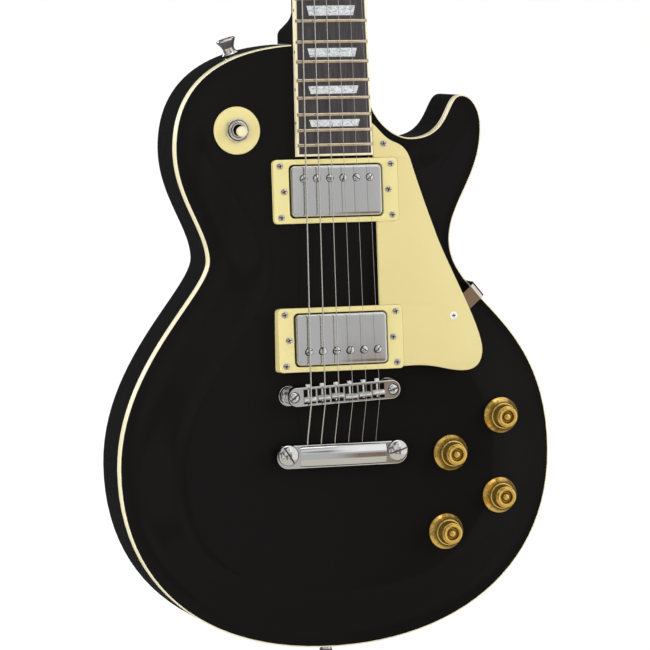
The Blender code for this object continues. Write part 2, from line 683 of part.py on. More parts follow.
def body_edge():
    """The body's edge in its own frame, from the neck's bass side round the bottom to its treble side."""
    up, left = Vector((0, 1)), Vector((-1, 0))
    turns = [
        ((-NECK_BLOCK_HALF, JOIN_HEIGHT), left * SHOULDER_REACH - up * SHOULDER_DROP, None),
        ((-BASS_UPPER_HALF, JOIN_HEIGHT - BASS_UPPER_BELOW), -up * BASS_UPPER_DROP, up * BASS_UPPER_RISE),
        ((-BASS_WAIST_HALF, JOIN_HEIGHT - BASS_WAIST_BELOW), -up * BASS_WAIST_REACH, up * BASS_WAIST_REACH),
        ((LOWER_BOUT_SHIFT - LOWER_BOUT_HALF, LOWER_BOUT_HEIGHT), -up * LOWER_BOUT_DROP, up * BASS_BOUT_RISE),
        ((0, BODY_BOTTOM), -left * BOTTOM_REACH, left * BOTTOM_REACH),
        ((LOWER_BOUT_SHIFT + LOWER_BOUT_HALF, LOWER_BOUT_HEIGHT), up * TREBLE_BOUT_RISE, -up * LOWER_BOUT_DROP),
        ((TREBLE_WAIST_HALF, TREBLE_WAIST), up * TREBLE_WAIST_RISE, -up * TREBLE_WAIST_DROP),
        ((HORN_SIDE, JOIN_HEIGHT - HORN_SIDE_BELOW), up * HORN_SIDE_RISE, -up * HORN_SIDE_DROP),
        ((HORN_TIP, JOIN_HEIGHT - HORN_TIP_BELOW), left * HORN_INNER_REACH, -left * HORN_TIP_REACH),
        ((CUTAWAY_FLOOR, JOIN_HEIGHT - CUTAWAY_BELOW), left * CUTAWAY_NECK_REACH, -left * CUTAWAY_HORN_REACH),
        ((NECK_BLOCK_HALF, JOIN_HEIGHT - CUTAWAY_END_BELOW), None, -up * CUTAWAY_END_DROP),
    ]
    points = []
    for (start, leave, _), (end, _, arrive) in zip(turns, turns[1:]):
        start, end = Vector(start), Vector(end)
        run = interpolate_bezier(start, start + leave, end + arrive, end, CURVE_STEPS)
        points += [p.to_2d() for p in run[:-1]]
    return points + [Vector(turns[-1][0]), Vector((NECK_BLOCK_HALF, JOIN_HEIGHT))]


def inset(points, distance):
    """An open line moved sideways, to its left as it runs."""
    moved = []
    for k, point in enumerate(points):
        before = (point - points[k - 1]).normalized() if k else None
        after = (points[k + 1] - point).normalized() if k + 1 < len(points) else None
        before, after = before or after, after or before
        a, b = Vector((-before.y, before.x)), Vector((-after.y, after.x))
        moved.append(point + (a + b) * distance / (1 + a.dot(b)))
    return moved


EDGE = body_edge()
CARVED_EDGE = np.array([p for p in EDGE if abs(p.x) > NECK_BLOCK_HALF + GAP or p.y < BRIDGE_LINE])


def edge_distance(x, y):
    """How far a place on the face is from the edge, without the sides of the block that the neck sits on."""
    start, run = CARVED_EDGE[:-1], np.diff(CARVED_EDGE, axis=0)
    away = np.array([x, y]) - start
    share = np.clip((away * run).sum(1) / (run**2).sum(1), 0, 1)
    return np.sqrt(((away - share[:, None] * run) ** 2).sum(1)).min()


def top_level(x, y):
    """How far the face stands out: it swells from the edge to a plateau, which falls back to the neck."""
    swell = CARVE_RISE * smooth((edge_distance(x, y) - CARVE_MARGIN) / CARVE_REACH)
    return HALF_THICKNESS + min(swell, (JOIN_HEIGHT - y) * tan(PITCH))


def make_body_back():
    """The mahogany back, its rear edge rounded except under the neck."""
    back = flat_shape([EDGE], -HALF_THICKNESS, SEAM)
    bmesh.ops.dissolve_limit(back, angle_limit=radians(0.1), verts=back.verts, edges=back.edges)
    rear = []
    for edge in back.edges:
        behind = all(abs(v.co.z + HALF_THICKNESS) < CLOSE for v in edge.verts)
        at_neck = all(abs(v.co.y - JOIN_HEIGHT) < CLOSE for v in edge.verts)
        if behind and not at_neck:
            rear.append(edge)
    bmesh.ops.bevel(
        back,
        geom=rear,
        offset=BACK_ROUND,
        segments=ROUND_SEGMENTS,
        profile=0.5,
        affect="EDGES",
        clamp_overlap=True,
    )
    bmesh.ops.triangulate(back, faces=back.faces)
    return mesh_object("body_back", back, BODY, "black_gloss")


def make_body_top():
    """The carved cap. Its face is cut into a grid whose corners are lifted to the carve."""
    outline = inset(EDGE, BINDING_THICKNESS + GAP)
    outline[0].x += GAP
    outline.insert(0, Vector((outline[0].x, JOIN_HEIGHT)))
    cap = flat_shape([outline], SEAM + GAP, HALF_THICKNESS)
    bmesh.ops.dissolve_limit(cap, angle_limit=radians(0.1), verts=cap.verts, edges=cap.edges)
    low = [min(p[k] for p in outline) for k in (0, 1)]
    high = [max(p[k] for p in outline) for k in (0, 1)]
    for axis in (0, 1):
        count = round((high[axis] - low[axis]) / CARVE_GRID)
        for k in range(1, count):
            place, normal = Vector(), Vector()
            place[axis] = low[axis] + (high[axis] - low[axis]) * k / count
            normal[axis] = 1
            face = [f for f in cap.faces if f.normal.z > 0.5]
            edges = {e for f in face for e in f.edges}
            verts = {v for f in face for v in f.verts}
            geometry = [*verts, *edges, *face]
            bmesh.ops.bisect_plane(cap, geom=geometry, plane_co=place, plane_no=normal, dist=CLOSE)
            cap.normal_update()
    for vert in cap.verts:
        if vert.co.z > HALF_THICKNESS - CLOSE:
            vert.co.z = top_level(vert.co.x, vert.co.y)
    bmesh.ops.triangulate(cap, faces=cap.faces)
    return mesh_object("body_top", cap, BODY, "maple_black")


def make_binding():
    """The cream strip let into the front edge: a ribbon that Solidify thickens inwards."""
    bm = bmesh.new()
    low = [bm.verts.new((p.x, p.y, SEAM + GAP)) for p in EDGE]
    high = [bm.verts.new((p.x, p.y, HALF_THICKNESS)) for p in EDGE]
    for k in range(len(EDGE) - 1):
        bm.faces.new((low[k], low[k + 1], high[k + 1], high[k]))
    ribbon = mesh_object("body_binding", bm, BODY, "binding_cream")
    thick = ribbon.modifiers.new("thickness", "SOLIDIFY")
    thick.thickness = BINDING_THICKNESS
    thick.offset = -1
    thick.use_even_offset = True
    return ribbon


def cavity_outline(grow):
    """The control cavity seen from the front, widened by grow all round."""
    xs = [x for x, _ in KNOB_PLACES.values()]
    ys = [y for _, y in KNOB_PLACES.values()]
    reach = POT_RADIUS + CAVITY_MARGIN
    left, right = min(xs) - reach - CAVITY_MARGIN, max(xs) + reach
    low, high = min(ys) - reach, max(ys) + reach
    corners = [
        (left - grow, low - grow),
        (right - CAVITY_CHAMFER + grow / 2, low - grow),
        (right + grow, low + CAVITY_CHAMFER - grow / 2),
        (right + grow, high + grow),
        (right - CAVITY_CHAMFER - grow / 2, high + grow),
        (left - grow, high - CAVITY_CHAMFER + grow / 2),
    ]
    return rounded(corners, CAVITY_ROUND + grow)


def cut_body(back, top):
    """Opens the mortise, the pickup routs, the cavities and every hole that a piece passes through."""
    heel = along_neck(JOIN_HEIGHT)
    mortise = box(
        "mortise",
        (-TENON_WIDTH / 2 - GAP, heel - TENON_LENGTH - GAP, NECK_TOP - TENON_DEPTH - GAP),
        (TENON_WIDTH / 2 + GAP, heel + TENON_LENGTH / 2, -NECK_TOP),
        NECK,
    )
    routs = bmesh.new()
    across, up = EAR_HALF + ROUT_CLEARANCE, COVER_WIDTH / 2 + ROUT_CLEARANCE
    for height in (NECK_PICKUP_HEIGHT, BRIDGE_PICKUP_HEIGHT):
        y = along_neck(height)
        floor = on_pickup_top(height) - ROUT_DEPTH
        box_shape(routs, (-across, y - up, floor), (across, y + up, CARVED_TOP))
    routs = mesh_object("pickup_routs", routs, NECK)
    posts = drills(
        "bridge_post_holes",
        [(s * BRIDGE_POST_SPACING / 2, 0, POST_THREAD_RADIUS + RUNNING_CLEARANCE) for s in (-1, 1)],
        POST_BOTTOM - BRIDGE_TRAVEL - CUT_PAST,
        2 * CARVED_TOP,
        BRIDGE,
    )
    studs = drills(
        "tailpiece_stud_holes",
        [(s * TAIL_STUD_SPACING / 2, TAIL_LINE, STUD_THREAD_RADIUS + RUNNING_CLEARANCE) for s in (-1, 1)],
        STUD_BOTTOM - TAIL_TRAVEL - CUT_PAST,
        2 * CARVED_TOP,
        BODY,
    )
    shafts = drills(
        "pot_holes",
        [(x, y, BUSHING_RADIUS + GAP) for x, y in KNOB_PLACES.values()],
        CONTROL_CEILING - CUT_PAST,
        2 * CARVED_TOP,
        BODY,
    )
    hole = [(0, 0, SWITCH_BUSHING_RADIUS + GAP)]
    switch_hole = drills("switch_hole", hole, -CARVED_TOP, CARVED_TOP, switch_frame())
    rear = -HALF_THICKNESS
    well = circle(SWITCH_CAVITY_RADIUS, COVER_STEPS, *SWITCH_PLACE)
    switch_cavity = slab("switch_cavity", [well], 2 * rear, 2 * SEAM, BODY)
    cover_depth = rear + COVER_PLATE_THICKNESS + GAP
    ledge = circle(SWITCH_CAVITY_RADIUS + COVER_LEDGE, COVER_STEPS, *SWITCH_PLACE)
    switch_ledge = slab("switch_cover_ledge", [ledge], 2 * rear, cover_depth, BODY)
    controls = slab("control_cavity", [cavity_outline(0)], 2 * rear, CONTROL_CEILING, BODY)
    control_ledge = slab("control_cover_ledge", [cavity_outline(COVER_LEDGE)], 2 * rear, cover_depth, BODY)
    jack = [(0, 0, JACK_HOLE_RADIUS)]
    jack_hole = drills("jack_hole", jack, -2 * JACK_LENGTH, JACK_LENGTH, jack_frame(), 20)
    shank = [(0, 0, BUTTON_SHANK_RADIUS + GAP)]
    reach = BUTTON_SHANK_LENGTH + CUT_PAST
    end_hole = drills("end_button_hole", shank, -reach, reach, end_button_frame(), 10)
    upper_hole = drills("upper_button_hole", shank, -reach, reach, upper_button_frame(), 10)
    cut(top, mortise, routs, posts, studs, shafts, switch_hole)
    cut(back, mortise, routs, posts, studs, shafts, switch_cavity, switch_ledge, controls, control_ledge)
    cut(back, jack_hole, end_hole, upper_hole)


# ---------------------------------------------------------------- neck, fretboard and headstock


def neck_section(half, depth, power, steps=12):
    """A neck's cross section below its flat top, as (x, z)."""
    angles = [pi * k / steps for k in range(steps + 1)]
    ring = []
    for angle in angles:
        across = max(0.0, abs(cos(angle))) ** power * (1 if angle < pi / 2 else -1)
        ring.append((half * across, -depth * max(0.0, sin(angle)) ** power))
    ring[0] = (half, 0)
    ring[-1] = (-half, 0)
    return ring


def board_half(y):
    """Half the fretboard's width at the fretboard frame's y."""
    share = -y / BOARD_LENGTH
    return (NUT_WIDTH + (BOARD_END_WIDTH - NUT_WIDTH) * share) / 2


def head_widths():
    """The headstock's half width from the nut to its tip: a plain flared paddle with a bowed end."""
    rows = [(0, NUT_WIDTH / 2)]
    steps = 4
    for k in range(1, steps + 1):
        share = k / steps
        width = NUT_WIDTH / 2 + (HEAD_WAIST_HALF - NUT_WIDTH / 2) * smooth(share)
        rows.append((HEAD_FLARE_START + (HEAD_FLARE_END - HEAD_FLARE_START) * share, width))
    for k in range(steps):
        angle = pi / 2 * k / (steps - 1)
        away = HEAD_TIP_BOW * (1 - sin(angle))
        rows.append((HEAD_LENGTH - away, HEAD_TOP_HALF - HEAD_TIP_CORNER * (1 - cos(angle))))
    return rows


def head_half(y):
    return between(head_widths(), y)


def make_neck():
    """Heel, shaft and headstock in one loft, with a tenon joined to its lower end."""
    start = JOIN_HEIGHT + GAP
    nut_height = NECK.translation.z
    heel_end = start + HEEL_LENGTH
    curve_start = start + HEEL_LENGTH / 4
    heights = [start, curve_start]
    heights += [curve_start + (heel_end - curve_start) * k / 4 for k in range(1, 5)]
    heights += [heel_end + (nut_height - heel_end) * k / 5 for k in range(1, 6)]
    sections = []
    for height in heights:
        heel = 1 - smooth((height - curve_start) / (heel_end - curve_start))
        shaft = between([(heel_end, NECK_DEPTH_AT_HEEL), (nut_height, NECK_DEPTH_AT_NUT)], height)
        depth = shaft + (HEEL_DEPTH - shaft) * heel
        power = SHAFT_POWER + (HEEL_POWER - SHAFT_POWER) * heel
        ring = neck_section(board_half(along_neck(height)), depth, power)
        level = HALF_THICKNESS + (JOIN_HEIGHT - height) * tan(PITCH)
        sections.append([BODY @ Vector((x, height, level + z)) for x, z in ring])
    rows = head_widths()[1:]
    for y, half in [(VOLUTE_LENGTH, NUT_WIDTH / 2), *rows]:
        power = SHAFT_POWER + (HEAD_POWER - SHAFT_POWER) * smooth(y / HEAD_FLARE_END)
        ring = neck_section(half, HEAD_THICKNESS, power)
        sections.append([HEAD @ Vector((x, y, z)) for x, z in ring])
    neck = mesh_object("neck", loft_shape(sections), Matrix(), "black_gloss")
    heel = along_neck(JOIN_HEIGHT)
    tenon = box(
        "tenon",
        (-TENON_WIDTH / 2, heel - TENON_LENGTH, NECK_TOP - TENON_DEPTH),
        (TENON_WIDTH / 2, heel + HEEL_LENGTH / 4, NECK_TOP - GAP),
        NECK,
    )
    half = ROD_RADIUS + GAP
    channel = box(
        "rod_channel",
        (-half, rod_end() - GAP, ROD_LEVEL - half),
        (half, NUT_LENGTH + 2 * GAP, -NECK_TOP),
        NECK,
    )
    pocket = box(
        "rod_pocket",
        (-ROD_NUT_RADIUS - ROD_POCKET_ROOM, NUT_LENGTH + GAP, ROD_LEVEL - ROD_NUT_RADIUS - GAP),
        (ROD_NUT_RADIUS + ROD_POCKET_ROOM, NUT_LENGTH + ROD_POCKET_LENGTH, 2 * ROD_DEPTH),
        NECK,
    )
    holes = [(x, y, TUNER_HOLE_RADIUS) for _, x, y in tuners()]
    join(neck, tenon)
    cut(neck, channel, pocket, drills("tuner_holes", holes, -2 * HEAD_THICKNESS, HEAD_THICKNESS, HEAD, 12))


def rod_end():
    """Where the truss rod ends inside the tenon, in the fretboard's frame."""
    return along_neck(JOIN_HEIGHT) - TENON_LENGTH / 2


def make_truss_rod():
    low = rod_end()
    nut_low = NUT_LENGTH + 2 * GAP
    profile = [(0, nut_low + ROD_NUT_LENGTH), (ROD_NUT_RADIUS, nut_low + ROD_NUT_LENGTH)]
    profile += [(ROD_NUT_RADIUS, nut_low), (ROD_RADIUS, nut_low), (ROD_RADIUS, low), (0, low)]
    frame = NECK @ raised(0, 0, ROD_LEVEL) @ Matrix.Rotation(-pi / 2, 4, "X")
    return turned("truss_rod", profile, 12, frame, "steel")


def fret_places():
    return [SCALE_LENGTH * (1 - 2 ** (-n / 12)) for n in range(1, FRET_COUNT + 1)]


def make_fretboard():
    """A tapered, crowned board with its frets standing on it."""
    places = [(GAP / 2, 0)]
    for fret in fret_places():
        places += [(fret - FRET_BASE / 2, 0), (fret - FRET_CROWN / 2, FRET_HEIGHT)]
        places += [(fret + FRET_CROWN / 2, FRET_HEIGHT), (fret + FRET_BASE / 2, 0)]
    places.append((BOARD_LENGTH, 0))
    sections = []
    for distance, rise in places:
        half = board_half(-distance)
        across = [half * share for share in CROWN_SHARES]
        ring = [(x, -distance, rise - x * x / (2 * BOARD_RADIUS)) for x in across]
        ring += [(-half, -distance, BOARD_UNDERSIDE), (half, -distance, BOARD_UNDERSIDE)]
        sections.append(ring)
    return mesh_object("fretboard", loft_shape(sections), NECK, "rosewood")


def string_across(number, y):
    """A string's x at the fretboard frame's y, between the nut and the bridge."""
    share = min(1.0, max(0.0, -y / SCALE_LENGTH))
    spread = STRING_SPREAD_AT_NUT + (STRING_SPREAD_AT_BRIDGE - STRING_SPREAD_AT_NUT) * share
    return spread * (0.5 - (number - 1) / (STRING_COUNT - 1))


def make_nut():
    half = NUT_WIDTH / 2
    nut = box("nut", (-half, GAP / 2, BOARD_UNDERSIDE), (half, NUT_LENGTH, NUT_HEIGHT), NECK, "bone")
    bm = bmesh.new()
    for number, radius in enumerate(STRING_RADII, 1):
        x, r = string_across(number, 0), radius + STRING_CLEARANCE
        floor = NUT_SLOT_FLOOR - x * x / (2 * BOARD_RADIUS)
        box_shape(bm, (x - r, -NUT_LENGTH, floor), (x + r, 2 * NUT_LENGTH, 3 * NUT_HEIGHT))
    cut(nut, mesh_object("nut_slots", bm, NECK))


# ---------------------------------------------------------------- bridge and tailpiece


def make_bridge():
    end = BRIDGE_WIDTH / 2
    outline = rectangle(BRIDGE_LENGTH / 2, end, end, steps=6)
    top = BRIDGE_BASE + BRIDGE_DEPTH
    bridge = slab("bridge_body", [outline], BRIDGE_BASE, top, BRIDGE, "chrome")
    low, high = (-TROUGH_LENGTH / 2, -TROUGH_WIDTH / 2), (TROUGH_LENGTH / 2, TROUGH_WIDTH / 2)
    trough = box("saddle_trough", (*low, top - TROUGH_DEPTH), (*high, top + TROUGH_DEPTH), BRIDGE)
    holes = [(s * BRIDGE_POST_SPACING / 2, 0, BRIDGE_BORE_RADIUS) for s in (-1, 1)]
    cut(bridge, trough, drills("bridge_bores", holes, 0, 2 * top, BRIDGE, 14))
    for name, side in (("bass", -1), ("treble", 1)):
        make_bridge_post(f"bridge_post_{name}", side * BRIDGE_POST_SPACING / 2)
    for number, offset in enumerate(SADDLE_OFFSETS, 1):
        make_saddle(number, offset, top - TROUGH_DEPTH + GAP)


def make_bridge_post(name, x):
    wheel_top = BRIDGE_BASE - GAP
    wheel_low = wheel_top - WHEEL_THICKNESS
    profile = [(0, POST_TOP), (POST_STUD_RADIUS, POST_TOP), (POST_STUD_RADIUS, wheel_top)]
    profile += [(WHEEL_RADIUS, wheel_top), (WHEEL_RADIUS, wheel_low), (POST_THREAD_RADIUS, wheel_low)]
    profile += [(POST_THREAD_RADIUS, POST_BOTTOM), (0, POST_BOTTOM)]
    frame = BRIDGE @ Matrix.Translation((x, 0, 0))
    post = turned(name, profile, 14, frame, "chrome")
    half = POST_SLOT_WIDTH / 2
    low = (-WHEEL_RADIUS, -half, POST_TOP - POST_SLOT_DEPTH)
    high = (WHEEL_RADIUS, half, POST_TOP + POST_SLOT_DEPTH)
    cut(post, box(f"{name}_slot", low, high, frame))


def saddle_place(number):
    """A saddle's middle in the bridge's frame, under its string."""
    x = string_across(number, -SCALE_LENGTH)
    return x / cos(radians(BRIDGE_SLANT)), SADDLE_OFFSETS[number - 1]


def saddle_top(x):
    return SADDLE_TOP - x * x / (2 * BOARD_RADIUS)


def make_saddle(number, offset, floor):
    """A block that slopes up to a ridge from both sides."""
    x, _ = saddle_place(number)
    top, half, ridge = saddle_top(x), SADDLE_LENGTH / 2, SADDLE_RIDGE / 2
    shoulder = BRIDGE_BASE + BRIDGE_DEPTH
    side = [(-half, floor), (half, floor), (half, shoulder), (ridge, top), (-ridge, top), (-half, shoulder)]
    width = SADDLE_WIDTH / 2
    sections = [[(x + s * width, offset + y, z) for y, z in side] for s in (-1, 1)]
    return mesh_object(f"saddle_{number}", loft_shape(sections), BRIDGE, "chrome")


def make_tailpiece():
    """A bar with a bowed back, a slotted ear at each end and a hole for each string."""
    half, ear = TAIL_WIDTH / 2, TAIL_LENGTH / 2
    outline = rectangle(ear, half, half, steps=6)
    tailpiece = slab("tailpiece", [outline], TAIL_BASE, TAIL_EAR_TOP, BODY @ raised(TAIL_LINE), "chrome")
    low = TAIL_EAR_TOP - TAIL_HUMP_ROOT
    crest = half - TAIL_HUMP_STEP
    profile = [(-crest, low), (crest, low)]
    for k in range(TAIL_HUMP_STEPS + 1):
        angle = pi * k / TAIL_HUMP_STEPS
        profile.append((crest * cos(angle), TAIL_EAR_TOP + (TAIL_TOP - TAIL_EAR_TOP) * sin(angle)))
    bar, full = TAIL_BAR_LENGTH / 2, TAIL_BAR_LENGTH / 2 - TAIL_END_TAPER
    ends = [(-bar, TAIL_END_SHARE), (-full, 1), (full, 1), (bar, TAIL_END_SHARE)]
    sections = [[(x, y * share, low + (z - low) * share) for y, z in profile] for x, share in ends]
    hump = mesh_object("tailpiece_hump", loft_shape(sections), tailpiece.matrix_world)
    slots = bmesh.new()
    radius = STUD_NECK_RADIUS + RUNNING_CLEARANCE
    under, over = TAIL_BASE - CUT_PAST, TAIL_TOP + CUT_PAST
    stud_places = [s * TAIL_STUD_SPACING / 2 for s in (-1, 1)]
    for x in stud_places:
        box_shape(slots, (x - radius, 0, under), (x + radius, TAIL_WIDTH, over))
    slots = mesh_object("tailpiece_slots", slots, tailpiece.matrix_world)
    seats = drills("stud_seats", [(x, 0, radius) for x in stud_places], under, over, tailpiece.matrix_world)
    holes = bmesh.new()
    lie = Matrix.Rotation(-pi / 2, 4, "X")
    seat_top = -half + BALL_SEAT_DEPTH
    for number in range(1, STRING_COUNT + 1):
        x = string_across(number, -SCALE_LENGTH)
        ball, bore = BALL_RADIUS + GAP, STRING_HOLE_RADIUS
        run = [(0, half + CUT_PAST), (bore, half + CUT_PAST), (bore, seat_top), (ball, seat_top)]
        run += [(ball, -half - CUT_PAST), (0, -half - CUT_PAST)]
        turned_shape(holes, run, 8, (x, 0, STRING_HOLE_LEVEL), lie)
    holes = mesh_object("string_holes", holes, tailpiece.matrix_world)
    join(tailpiece, hump)
    cut(tailpiece, slots, seats, holes)
    for name, side in (("bass", -1), ("treble", 1)):
        make_tail_stud(f"tailpiece_stud_{name}", side * TAIL_STUD_SPACING / 2)


def make_tail_stud(name, x):
    flange_top = TAIL_BASE - GAP
    flange_low = flange_top - STUD_FLANGE_THICKNESS
    head_low = TAIL_EAR_TOP + GAP
    head_top = head_low + STUD_HEAD_HEIGHT
    profile = dome(STUD_HEAD_RADIUS, head_top, STUD_DOME, STUD_DOME_STEPS)
    profile += [(STUD_HEAD_RADIUS, head_low), (STUD_NECK_RADIUS, head_low), (STUD_NECK_RADIUS, flange_top)]
    profile += [(STUD_FLANGE_RADIUS, flange_top), (STUD_FLANGE_RADIUS, flange_low)]
    profile += [(STUD_THREAD_RADIUS, flange_low), (STUD_THREAD_RADIUS, STUD_BOTTOM), (0, STUD_BOTTOM)]
    frame = BODY @ raised(TAIL_LINE, x)
    stud = turned(name, profile, 16, frame, "chrome")
    half = STUD_SLOT_WIDTH / 2
    low = (-2 * STUD_HEAD_RADIUS, -half, head_top - STUD_SLOT_DEPTH)
    high = (2 * STUD_HEAD_RADIUS, half, head_top + STUD_SLOT_DEPTH)
    cut(stud, box(f"{name}_slot", low, high, frame))


# ---------------------------------------------------------------- pickups


def on_pickup_top(height):
    """The level of the face under a pickup, in the fretboard's frame: the pitched face or the plateau."""
    plateau = (NECK.inverted() @ BODY @ Vector((0, height, CARVED_TOP))).z
    return min(NECK_TOP, plateau)


def make_pickup(name, height, cover_top, pole_pitch, pole_side):
    y = along_neck(height)
    frame = NECK @ raised(y)
    make_pickup_ring(f"{name}_pickup_ring", height, frame)
    outline = rectangle(COVER_LENGTH / 2, COVER_WIDTH / 2, COVER_ROUND)
    cover = slab(f"{name}_pickup_cover", [outline], cover_top - COVER_DEPTH, cover_top, frame, "chrome")
    inner = rectangle(COVER_LENGTH / 2 - COVER_WALL, COVER_WIDTH / 2 - COVER_WALL, COVER_ROUND - COVER_WALL)
    hollow = slab(f"{name}_cover_hollow", [inner], cover_top - 2 * COVER_DEPTH, cover_top - COVER_WALL, frame)
    poles = [(pole_pitch * (k - (STRING_COUNT - 1) / 2), pole_side) for k in range(STRING_COUNT)]
    holes = [(x, side, POLE_RADIUS + GAP) for x, side in poles]
    under, over = cover_top - COVER_DEPTH, cover_top + CUT_PAST
    cut(cover, hollow, drills(f"{name}_pole_holes", holes, under, over, frame, POLE_STEPS))
    make_pickup_core(f"{name}_pickup_core", frame, cover_top, poles)


def make_pickup_ring(name, height, frame):
    """The frame that holds a pickup. On the plateau its base is cut level, so it is taller at one side."""
    base = on_pickup_top(height)
    on_plateau = base < NECK_TOP
    low = base + GAP - (RING_WIDTH / 2 * sin(PITCH) if on_plateau else 0)
    outline = rectangle(RING_LENGTH / 2, RING_WIDTH / 2, RING_ROUND, steps=3)
    hole = rectangle(COVER_LENGTH / 2 + 2 * GAP, COVER_WIDTH / 2 + 2 * GAP, COVER_ROUND, steps=3)
    ring = slab(name, [outline, hole], low, RING_TOP, frame, "cream_plastic")
    if on_plateau:
        far = (2 * RING_LENGTH, 2 * BRIDGE_PICKUP_HEIGHT, CARVED_TOP + GAP)
        cut(ring, box(f"{name}_underside", (-far[0], 0, 0), far, BODY))


def make_pickup_core(name, frame, cover_top, poles):
    """Baseplate, bobbins, magnet and pole screws as one piece inside the cover."""
    wall = COVER_WALL + GAP
    x, y = COVER_LENGTH / 2 - wall, COVER_WIDTH / 2 - wall
    top, low = cover_top - wall, cover_top - COVER_DEPTH
    base_low = low - BASEPLATE_THICKNESS
    outline = rectangle(x, y, COVER_ROUND - COVER_WALL, steps=2)
    core = slab(name, [outline], low, top, frame, "bobbin")
    ear_low, ear_high = (-EAR_HALF, -EAR_WIDTH / 2, base_low), (EAR_HALF, EAR_WIDTH / 2, low - GAP)
    ears = box(f"{name}_ears", ear_low, ear_high, frame)
    low_corner = (CORE_STEP - x, CORE_STEP - y, base_low)
    high_corner = (x - CORE_STEP, y - CORE_STEP, top - CORE_STEP)
    web = box(f"{name}_web", low_corner, high_corner, frame)
    rods = [(*pole, POLE_RADIUS) for pole in poles]
    screws = drills(f"{name}_screws", rods, top - POLE_SINK, cover_top + POLE_RISE, frame, POLE_STEPS)
    join(core, web, ears, screws)


# ---------------------------------------------------------------- pickguard


def guard_outline():
    """The pickguard round both rings, as (across, height). Its free edge starts beside the bridge pickup."""
    ring_x = RING_LENGTH / 2 + GAP
    reach = RING_WIDTH / 2 + GAP
    neck_low, neck_high = NECK_PICKUP_HEIGHT - reach, NECK_PICKUP_HEIGHT + reach
    bridge_low, bridge_high = BRIDGE_PICKUP_HEIGHT - reach, BRIDGE_PICKUP_HEIGHT + reach
    tip_height = neck_high + GUARD_TIP_ABOVE
    tip = (board_half(along_neck(tip_height)) + GAP, tip_height)
    start = (ring_x, bridge_low + GUARD_LOW_STEP)
    points = [tip, (BOARD_END_WIDTH / 2 + GAP, neck_high), (ring_x, neck_high), (ring_x, neck_low)]
    points += [(GUARD_INNER_EDGE, neck_low), (GUARD_INNER_EDGE, bridge_high), (ring_x, bridge_high)]
    turns = [(Vector(start), GUARD_START_LEAVE, None)]
    for level, rows in ((bridge_low, GUARD_LOW_TURNS), (neck_high, GUARD_HIGH_TURNS)):
        turns += [(Vector((across, level + rise)), leave, arrive) for (across, rise), leave, arrive in rows]
    turns.append((Vector(tip), None, GUARD_TIP_ARRIVE))
    for (here, leave, _), (there, _, arrive) in zip(turns, turns[1:]):
        run = interpolate_bezier(here, here + Vector(leave), there + Vector(arrive), there, GUARD_STEPS)
        points += [tuple(p.to_2d()) for p in run[:-1]]
    return points


def make_pickguard():
    outline = [(x, along_neck(height)) for x, height in guard_outline()]
    return slab("pickguard", [outline], GUARD_TOP - GUARD_THICKNESS, GUARD_TOP, NECK, "cream_plastic")


def reach_to_edge(start, way, half):
    """How far a strip of this half width runs from a place on the face until all of it is past the edge."""
    side = Vector((-way.y, way.x)) * (half + GAP)
    reach = [(p - start).dot(way) for p in EDGE if abs((p - start).dot(side)) < side.length**2]
    for offset in (-side, side):
        origin = start + offset
        far = origin + way * LOWER_BOUT_HALF
        hits = [intersect_line_line_2d(origin, far, a, b) for a, b in zip(EDGE, EDGE[1:])]
        reach += [(hit - origin).dot(way) for hit in hits if hit]
    return max(r for r in reach if r < LOWER_BOUT_HALF)


def make_bracket():
    """A bent strip from under the pickguard over the rim and down the body's side."""
    turn = radians(BRACKET_ANGLE)
    way = Vector((cos(turn), sin(turn)))
    screw = Vector((GUARD_SCREW_ACROSS, BRIDGE_PICKUP_HEIGHT + GUARD_SCREW_ABOVE))
    rim = reach_to_edge(screw, way, BRACKET_WIDTH / 2)
    under_guard = Vector((0, along_neck(screw.y), GUARD_TOP - GUARD_THICKNESS))
    top = (BODY.inverted() @ NECK @ under_guard).z - 2 * GAP
    slope = -tan(PITCH) * way.y
    out = rim + GAP + BRACKET_THICKNESS
    corner = top + slope * out
    path = [(-BRACKET_TAIL, top - slope * BRACKET_TAIL), (0, top), (out - BRACKET_BEND, corner)]
    path += [(out, corner - BRACKET_BEND), (out, top - BRACKET_DROP)]
    bm = bmesh.new()
    half = BRACKET_WIDTH / 2
    left = [bm.verts.new((a, -half, b)) for a, b in path]
    right = [bm.verts.new((a, half, b)) for a, b in path]
    for k in range(len(path) - 1):
        bm.faces.new((left[k], left[k + 1], right[k + 1], right[k]))
    frame = BODY @ raised(screw.y, screw.x) @ Matrix.Rotation(turn, 4, "Z")
    strip = mesh_object("pickguard_bracket", bm, frame, "nickel")
    thick = strip.modifiers.new("thickness", "SOLIDIFY")
    thick.thickness = BRACKET_THICKNESS
    thick.offset = -1
    thick.use_even_offset = True
    return strip


# ---------------------------------------------------------------- controls


def make_knobs():
    for name, (x, y) in KNOB_PLACES.items():
        top = KNOB_BASE + KNOB_HEIGHT
        shoulder = KNOB_BASE + KNOB_SHOULDER_HEIGHT
        recess = KNOB_BASE + KNOB_RECESS_DEPTH
        profile = [(0, top), (KNOB_CAP_RADIUS - KNOB_EDGE, top), (KNOB_CAP_RADIUS, top - KNOB_EDGE)]
        profile += [(KNOB_SHOULDER_RADIUS - KNOB_EDGE, shoulder + KNOB_EDGE)]
        profile += [(KNOB_SHOULDER_RADIUS, shoulder)]
        profile += [(KNOB_RADIUS, KNOB_BASE + KNOB_RIM), (KNOB_RADIUS, KNOB_BASE)]
        profile += [(KNOB_RECESS_RADIUS, KNOB_BASE), (KNOB_RECESS_RADIUS, recess), (SHAFT_RADIUS, recess)]
        profile += [(SHAFT_RADIUS, SHAFT_END), (0, SHAFT_END)]
        turned(f"{name}_knob", profile, KNOB_STEPS, BODY @ raised(y, x), "gold_knob")


